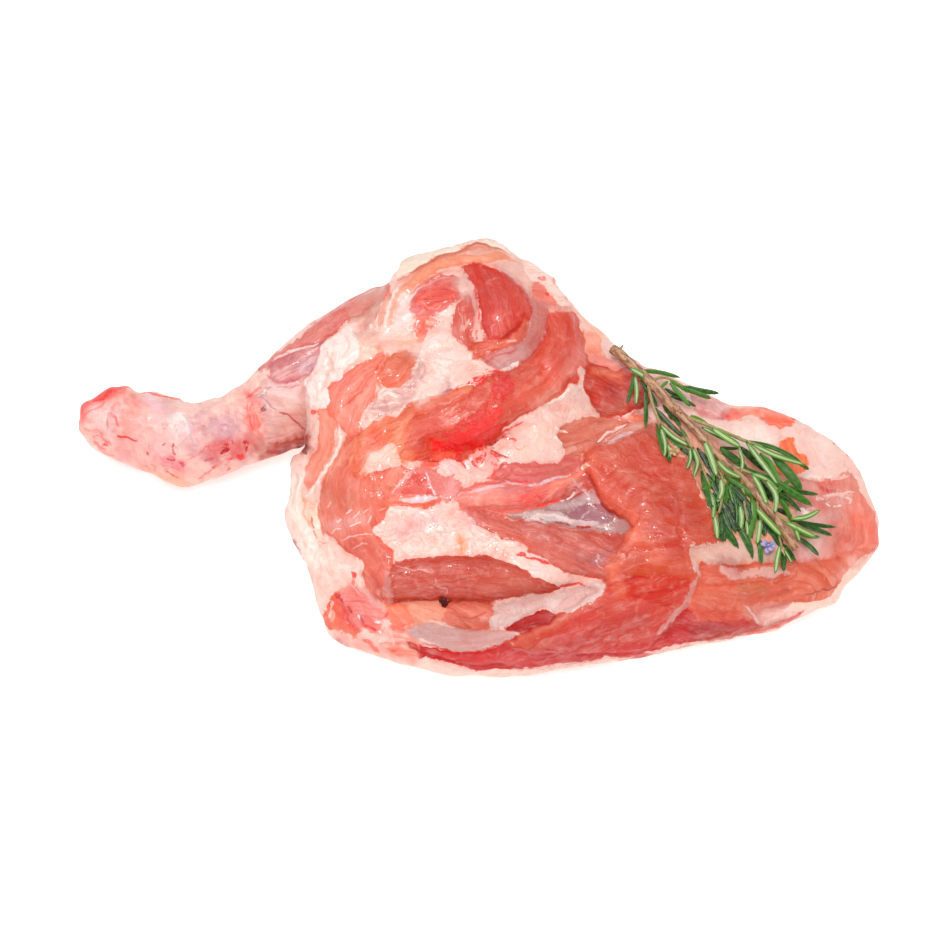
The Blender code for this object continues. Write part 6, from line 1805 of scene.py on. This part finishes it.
class Ground:
    """The top of the meat, for what lies on it."""

    def __init__(self, meat):
        bpy.context.view_layer.update()
        self.tree = BVHTree.FromObject(meat, bpy.context.evaluated_depsgraph_get())

    def height(self, x, y, spread=1.2 * MM):
        """The highest point of the meat at this place and this far round it."""
        highest = 0.0
        for dx, dy in ((0, 0), (spread, 0), (-spread, 0), (0, spread), (0, -spread)):
            hit = self.tree.ray_cast(Vector((x + dx, y + dy, 1)), Vector((0, 0, -1)))[0]
            if hit is not None:
                highest = max(highest, hit.z)
        return highest

    def resting(self, across, up, height, lift):
        """The point seen at (across, up), at this height or higher, at least this lift over the meat."""
        level = height
        for _ in range(10):
            point = Vector(place(across, up, level))
            level = max(height, self.height(point.x, point.y) / MM + lift)
        return Vector(place(across, up, level))

    def clear(self, point, radius):
        """The point, raised where a stem of this radius would touch the meat."""
        lowest = self.height(point[0], point[1]) + (radius + SPRIG_CLEARANCE) * MM
        return Vector((point[0], point[1], max(point[2], lowest)))


def frames_along(points):
    """At each point of a path: the way on, and two ways square to it that don't twist."""
    last = len(points) - 1
    ways = [(points[min(i + 1, last)] - points[max(i - 1, 0)]).normalized() for i in range(last + 1)]
    side = ways[0].cross(Vector((0, 0, 1))).normalized()
    found = []
    for way in ways:
        side = (side - way * side.dot(way)).normalized()
        found.append((way, side, side.cross(way).normalized()))
    return found


def rod(bm, points, radii, sides, uneven=0.0, seed=1):
    """A closed round rod along the points: a grid rolled up round them, its seam and ends closed."""
    draw = random.Random(seed)
    before = set(bm.verts)
    bmesh.ops.create_grid(bm, x_segments=len(points) + 1, y_segments=sides, size=0.5, calc_uvs=True)
    made = [v for v in bm.verts if v not in before]
    frames = frames_along(points)
    bulge = [[1 + uneven * draw.uniform(-1, 1) for _ in range(sides)] for _ in points]
    steps = len(points) + 1
    for v in made:
        i = round((v.co.x + 0.5) * steps)
        j = round((v.co.y + 0.5) * sides) % sides
        k = min(max(i - 1, 0), len(points) - 1)
        radius = 0 if i in (0, steps) else radii[k] * bulge[k][j]
        angle = 2 * math.pi * j / sides
        v.co = points[k] + (frames[k][1] * math.cos(angle) + frames[k][2] * math.sin(angle)) * radius
    bmesh.ops.remove_doubles(bm, verts=made, dist=0.002 * MM)


def wood_points(rows):
    """A smooth line through the rows of a stem or shoot."""
    return smooth_line(np.array(rows, float), steps=5)


LEAF_CUTS = 10


def blade(bm, line, over, width, thick, blunt=0.6, curl=0.3, arch=0.0):
    """One narrow leaf: a grid drawn out along a line of points, its margins rolled, then made thick."""
    before = set(bm.verts)
    bmesh.ops.create_grid(bm, x_segments=LEAF_CUTS, y_segments=4, size=0.5, calc_uvs=True)
    made = [v for v in bm.verts if v not in before]
    steps = max(1, LEAF_CUTS // (len(line) - 1))
    path = [Vector(p) for p in smooth_line(np.array(line, float), steps=steps)]
    reach = sum((b - a).length for a, b in itertools.pairwise(path))
    for v in made:
        u, t = v.co.x + 0.5, 2 * v.co.y
        where = u * (len(path) - 1)
        k = min(int(where), len(path) - 2)
        middle = path[k].lerp(path[k + 1], where - k)
        way = (path[k + 1] - path[k]).normalized()
        sideways = way.cross(over).normalized()
        upwards = sideways.cross(way).normalized()
        foot = 0.32 + 0.68 * float(ramp(u, 0, 0.25))
        tip = math.sqrt(max(0.0, 1 - (max(u - blunt, 0) / (1 - blunt)) ** 2.2))
        half = width / 2 * max(foot * tip, 0.06)
        v.co = (
            middle
            + upwards * (4 * u * (1 - u) * arch * reach)
            + sideways * (t * half)
            - upwards * (curl * half * t * t)
        )
    faces = list({face for v in made for face in v.link_faces})
    below = bmesh.ops.solidify(bm, geom=faces, thickness=thick)["geom"]
    return made + [part for part in below if isinstance(part, bmesh.types.BMVert)]


# ---------------------------------------------------------------- what a user can change

class MeatSizes(bpy.types.PropertyGroup):
    """How fine the meat is and how it looks."""

    cell: bpy.props.FloatProperty(
        name="Cell", description="Size of the skin's cells", default=1.12 * MM, min=0.5 * MM,
        max=4 * MM, subtype="DISTANCE", unit="LENGTH", precision=5,
    )
    relief: bpy.props.FloatProperty(
        name="Relief", description="How far muscles and fat stand out, as a share", default=1.0,
        min=0.0, max=2.0, subtype="FACTOR",
    )
    wetness: bpy.props.FloatProperty(
        name="Wetness", description="How wet the surface is", default=0.7, min=0.0, max=1.0,
        subtype="FACTOR",
    )
    brightness: bpy.props.FloatProperty(
        name="Brightness", description="How pale the tissues are, as a share", default=1.0, min=0.3,
        max=1.2, subtype="FACTOR",
    )
    cover: bpy.props.FloatVectorProperty(
        name="Outer fat", description="Colour of the outer side's fat, from 0 to 255",
        default=(252, 226, 212), min=0, max=255,
    )
    cover_pink: bpy.props.FloatVectorProperty(
        name="Outer flesh",
        description="Colour of the flesh that shows through the outer fat, from 0 to 255",
        default=(244, 172, 156), min=0, max=255,
    )


class SprigSizes(bpy.types.PropertyGroup):
    """The rosemary's leaves and bark."""

    leaf_width: bpy.props.FloatProperty(
        name="Leaf width", description="How wide the leaves are, as a share", default=1.0, min=0.3,
        max=3.0, subtype="FACTOR",
    )
    leaf_thickness: bpy.props.FloatProperty(
        name="Leaf thickness", description="Thickness of a leaf", default=0.6 * MM, min=0.1 * MM,
        max=2 * MM, subtype="DISTANCE", unit="LENGTH", precision=5,
    )
    # The three leaf colours are painted shade and light: for leaves in the shade, darker leaves and lit
    # leaves.
    leaf_deep: bpy.props.FloatVectorProperty(
        name="Deep leaf", description="Colour of the leaves in the shade, from 0 to 255",
        default=(10, 36, 2), min=0, max=255,
    )
    leaf_dark: bpy.props.FloatVectorProperty(
        name="Dark leaf", description="Colour of the darker leaves, from 0 to 255", default=(24, 72, 8),
        min=0, max=255,
    )
    leaf_light: bpy.props.FloatVectorProperty(
        name="Light leaf", description="Colour of the lighter leaves, from 0 to 255",
        default=(84, 144, 34), min=0, max=255,
    )
    bark_dark: bpy.props.FloatVectorProperty(
        name="Dark bark", description="Colour of the cracks, from 0 to 255", default=(112, 62, 36),
        min=0, max=255,
    )
    bark_light: bpy.props.FloatVectorProperty(
        name="Light bark", description="Colour of the ridges, from 0 to 255", default=(198, 150, 110),
        min=0, max=255,
    )


class StudioSizes(bpy.types.PropertyGroup):
    """Floor, light and camera."""

    floor: bpy.props.FloatProperty(
        name="Floor", description="Width of the floor", default=8.0, min=1.0, max=20.0,
        subtype="DISTANCE", unit="LENGTH",
    )
    floor_colour: bpy.props.FloatVectorProperty(
        name="Floor colour", description="Colour of the floor", default=(0.84, 0.84, 0.84), min=0.0,
        max=1.0, subtype="COLOR",
    )
    sky: bpy.props.FloatProperty(
        name="Sky", description="Strength of the even light from all sides", default=0.5, min=0.0,
        max=5.0,
    )
    lamp: bpy.props.FloatProperty(
        name="Softbox", description="Power of the big softbox overhead", default=19.0, min=0.0,
        max=500.0, unit="POWER",
    )
    side: bpy.props.FloatProperty(
        name="Side light", description="Power of each small softbox at the sides", default=2.6, min=0.0,
        max=500.0, unit="POWER",
    )
    sparkle: bpy.props.FloatProperty(
        name="Sparkle", description="Power of each small lamp that makes the wet glints", default=15.0,
        min=0.0, max=500.0, unit="POWER",
    )
    lens: bpy.props.FloatProperty(
        name="Lens", description="The camera's focal length", default=121.9, min=20.0, max=400.0,
        unit="CAMERA",
    )


# ---------------------------------------------------------------- the pieces

def smoothed(name, bm):
    """The shape as an object, its faces turned outwards and shaded smooth."""
    bmesh.ops.recalc_face_normals(bm, faces=bm.faces)
    for face in bm.faces:
        face.smooth = True
    return fresh_object(name, bm)


def finished(made, material, node):
    """Gives a piece its material and its place in the model."""
    made.data.materials.clear()
    made.data.materials.append(material)
    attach(made, "root")
    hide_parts(node)


class LAMB_OT_meat(bpy.types.Operator):
    """Makes the shoulder with its shank: muscles, fat, silver skin, sinews and blood"""

    bl_idname = "lamb.meat"
    bl_label = "Shoulder"

    def execute(self, context):
        sizes = context.scene.lamb_meat
        made = meat_surface(sizes.cell)
        carve(made, sizes.relief)
        paint(made)
        finished(made, meat_finish(sizes), "lamb_shoulder")
        return {"FINISHED"}


KNOT_AT = 22  # the row of the stem's smooth line that has the knot
SHOOT_GREEN = 0.45  # how green the young side shoots are


class LAMB_OT_wood(bpy.types.Operator):
    """Makes the rosemary's stem and its side shoots"""

    bl_idname = "lamb.wood"
    bl_label = "Rosemary stem"

    def execute(self, context):
        ground = Ground(bpy.data.objects["shoulder_meat"])
        bm = uv_mesh()
        green = bm.verts.layers.float.new("green")
        rows = wood_points(STEM)
        points = [ground.clear(Vector(place(a, u, h)), r) for a, u, h, r in rows]
        draw = random.Random(5)
        radii = [
            radius * MM * (1 + 0.10 * math.sin(3.1 * i) + 0.05 * draw.uniform(-1, 1))
            for i, radius in enumerate(rows[:, 3])
        ]
        rod(bm, points, radii, 14, 0.07, 11)
        # A knot where the first shoots leave, and a broken spur near the cut end.
        knot = [points[KNOT_AT] + Vector(step) * MM for step in ((-3, 3, 1.0), (0, 0, 1.6), (3, -3.6, 1.0))]
        rod(bm, knot, [1.2 * MM, 2.0 * MM, 1.1 * MM], 10, 0.2, 31)
        spur = [lifted(*step) for step in ((617, 352, 1.5), (621, 348, 2.5), (623, 345, 2.8))]
        rod(bm, spur, [1.0 * MM, 0.7 * MM, 0.3 * MM], 8, 0.1, 32)
        old = set(bm.verts)
        for number, (radius, lift, *shoot) in enumerate(SHOOTS):
            path = wood_points([lifted(x, y, lift) for x, y in shoot])
            points = [ground.clear(Vector(point), radius) for point in path]
            thick = [radius * MM * (1.15 - 0.4 * i / len(points)) for i in range(len(points))]
            rod(bm, points, thick, 8, 0.12, 40 + number)
        for v in bm.verts:
            if v not in old:
                v[green] = SHOOT_GREEN
        made = smoothed("rosemary_stem", bm)
        finished(made, bark_finish(context.scene.lamb_sprig), "rosemary_sprig")
        return {"FINISHED"}


class LAMB_OT_leaves(bpy.types.Operator):
    """Makes the rosemary's leaves"""

    bl_idname = "lamb.leaves"
    bl_label = "Rosemary leaves"

    def execute(self, context):
        sizes = context.scene.lamb_sprig
        ground = Ground(bpy.data.objects["shoulder_meat"])
        draw = random.Random(7)
        bm = uv_mesh()
        stores = bm.verts.layers.float
        for name in ("shade", "under"):
            stores.new(name)
        shade, under = stores["shade"], stores["under"]
        _, _, towards = sight_axes()
        for leaf in LEAVES:
            lift = -3.2 + 5.5 * leaf.tone + 2.6 * leaf.pale + draw.uniform(-0.4, 0.4)
            droop = draw.uniform(0.5, 2.5)
            last = len(leaf.points) - 1
            line = [
                ground.clear(lifted(x, y, lift + (0.9 if i == 0 else 0) - droop * (i / last) ** 2), 0.5)
                for i, (x, y) in enumerate(leaf.points)
            ]
            tilt = Vector((draw.uniform(-0.45, 0.45), draw.uniform(-0.35, 0.35), draw.uniform(0, 0.4)))
            over = (towards + tilt).normalized()
            curl = -0.45 if leaf.pale else draw.uniform(0.2, 0.5)
            width = leaf.width * SIGHT_STEP * sizes.leaf_width
            made = blade(bm, line, over, width, sizes.leaf_thickness, curl=curl, arch=draw.uniform(0, 0.03))
            for v in made:
                v[shade] = leaf.tone
                v[under] = leaf.pale
                v.co.z = max(v.co.z, ground.height(v.co.x, v.co.y, 0.4 * MM) + 0.15 * MM)
        made = smoothed("rosemary_leaves", bm)
        finished(made, leaf_finish(sizes), "rosemary_sprig")
        return {"FINISHED"}


PETAL_THICKNESS = 0.25 * MM
# Each one's name, where it is seen, its least height, its lift over the meat and its size in mm, how many
# petals it has and how far they droop, the seed of its draws, and the colours of its heart and its rim.
BLOOMS = (
    ("rosemary_flower", (769, 546), 47, 3.0, 4.0, 6, 0.1, 3, (88, 78, 138), (178, 168, 208)),
    ("rosemary_bud", (674, 451), 57, 2.6, 3.0, 5, 0.3, 8, (150, 104, 60), (212, 176, 120)),
)


def bloom(name, centre, size, petals, droop, seed):
    """A small flower or dry bud: curled petals round a middle."""
    draw = random.Random(seed)
    bm = uv_mesh()
    for number in range(petals):
        angle = 2 * math.pi * number / petals + draw.uniform(-0.3, 0.3)
        out = Vector((math.cos(angle), math.sin(angle), draw.uniform(-droop, 0.5)))
        foot = centre + out * 0.12 * size
        tip = centre + out * size * draw.uniform(0.75, 1.1)
        over = Vector((draw.uniform(-0.4, 0.4), draw.uniform(-0.4, 0.4), 1))
        line = foot, foot.lerp(tip, 0.5), tip
        blade(bm, line, over, 0.75 * size, PETAL_THICKNESS, blunt=0.35, curl=0.6, arch=0.22)
    at_centre = Matrix.Translation(centre)
    bmesh.ops.create_icosphere(bm, subdivisions=2, radius=0.28 * size, matrix=at_centre, calc_uvs=True)
    return smoothed(name, bm)


class LAMB_OT_blooms(bpy.types.Operator):
    """Makes the rosemary's small flower and its dry bud"""

    bl_idname = "lamb.blooms"
    bl_label = "Rosemary flower and bud"

    def execute(self, context):
        ground = Ground(bpy.data.objects["shoulder_meat"])
        for name, where, height, lift, size, petals, droop, seed, dark, pale in BLOOMS:
            centre = ground.resting(*seen_at(*where), height, lift)
            made = bloom(name, centre, size * MM, petals, droop, seed)
            finished(made, petal_finish(dark, pale), "rosemary_sprig")
        return {"FINISHED"}


LIT_POINT = Vector((0, 0, 0.03))
# Each lamp's name, the size that holds its power, where it stands and how wide it is, in metres.
LAMPS = (
    ("overhead_softbox", "lamp", (-0.1, -0.3, 1.6), 1.2),
    ("left_softbox", "side", (-1.1, -0.6, 0.9), 0.6),
    ("right_softbox", "side", (1.1, -0.6, 0.9), 0.6),
    ("back_sparkle", "sparkle", (-0.1, 0.8, 1.35), 0.22),
    ("top_sparkle", "sparkle", (0.2, 0.1, 1.6), 0.2),
    ("left_sparkle", "sparkle", (-0.8, 0.3, 1.2), 0.2),
)


class LAMB_OT_studio(bpy.types.Operator):
    """Makes the floor, the soft lights and the camera"""

    bl_idname = "lamb.studio"
    bl_label = "Studio"

    def execute(self, context):
        sizes = context.scene.lamb_studio
        bm = bmesh.new()
        bmesh.ops.create_grid(bm, x_segments=2, y_segments=2, size=sizes.floor / 2)
        floor = fresh_object("floor", bm)
        floor.data.materials.append(floor_finish(sizes.floor_colour))

        world = bpy.data.worlds.new("soft_sky")
        world.use_nodes = True
        sky = world.node_tree.nodes["Background"]
        sky.inputs["Color"].default_value = (1, 1, 1, 1)
        sky.inputs["Strength"].default_value = sizes.sky
        context.scene.world = world

        for name, power, where, size in LAMPS:
            lamp = bpy.data.lights.new(name, "AREA")
            lamp.energy, lamp.shape, lamp.size = getattr(sizes, power), "DISK", size
            made = bpy.data.objects.new(name, lamp)
            made.visible_diffuse = "sparkle" not in name
            made.visible_glossy = "overhead" not in name
            made.location = where
            made.rotation_euler = (LIT_POINT - Vector(where)).to_track_quat("-Z", "Y").to_euler()
            context.scene.collection.objects.link(made)

        _, up, towards = sight_axes()
        data = bpy.data.cameras.new("camera")
        data.lens, data.sensor_width, data.sensor_fit = sizes.lens, 36, "HORIZONTAL"
        camera = bpy.data.objects.new("camera", data)
        camera.matrix_world = Matrix.Translation(SIGHT_MIDDLE + SIGHT_REACH * towards) @ Matrix(
            (Vector((1, 0, 0)), up, towards)
        ).transposed().to_4x4()
        context.scene.collection.objects.link(camera)
        context.scene.camera = camera
        context.scene.view_settings.view_transform = "Standard"
        return {"FINISHED"}


class LAMB_PT_panel(bpy.types.Panel):
    """Lists the pieces and their sizes"""

    bl_label = "Raw Lamb Shoulder"
    bl_idname = "LAMB_PT_panel"
    bl_space_type = "VIEW_3D"
    bl_region_type = "UI"
    bl_category = "Lamb"

    def draw(self, context):
        for operators, group in PARTS:
            box = self.layout.box()
            for operator in operators:
                box.operator(operator.bl_idname)
            sizes = getattr(context.scene, group)
            for key in sizes.bl_rna.properties.keys():
                if key not in ("rna_type", "name"):
                    box.prop(sizes, key)


PARTS = (
    ((LAMB_OT_meat,), "lamb_meat"),
    ((LAMB_OT_wood, LAMB_OT_leaves, LAMB_OT_blooms), "lamb_sprig"),
    ((LAMB_OT_studio,), "lamb_studio"),
)
GROUPS = {"lamb_meat": MeatSizes, "lamb_sprig": SprigSizes, "lamb_studio": StudioSizes}
CLASSES = (*GROUPS.values(), *(operator for operators, _ in PARTS for operator in operators), LAMB_PT_panel)


def register():
    for made in CLASSES:
        bpy.utils.register_class(made)
    for key, group in GROUPS.items():
        setattr(bpy.types.Scene, key, bpy.props.PointerProperty(type=group))


def unregister():
    for key in GROUPS:
        delattr(bpy.types.Scene, key)
    for made in reversed(CLASSES):
        bpy.utils.unregister_class(made)


def main():
    register()
    bpy.ops.lamb.meat()
    bpy.ops.lamb.wood()
    bpy.ops.lamb.leaves()
    bpy.ops.lamb.blooms()
    bpy.ops.lamb.studio()


if __name__ == "__main__":
    main()
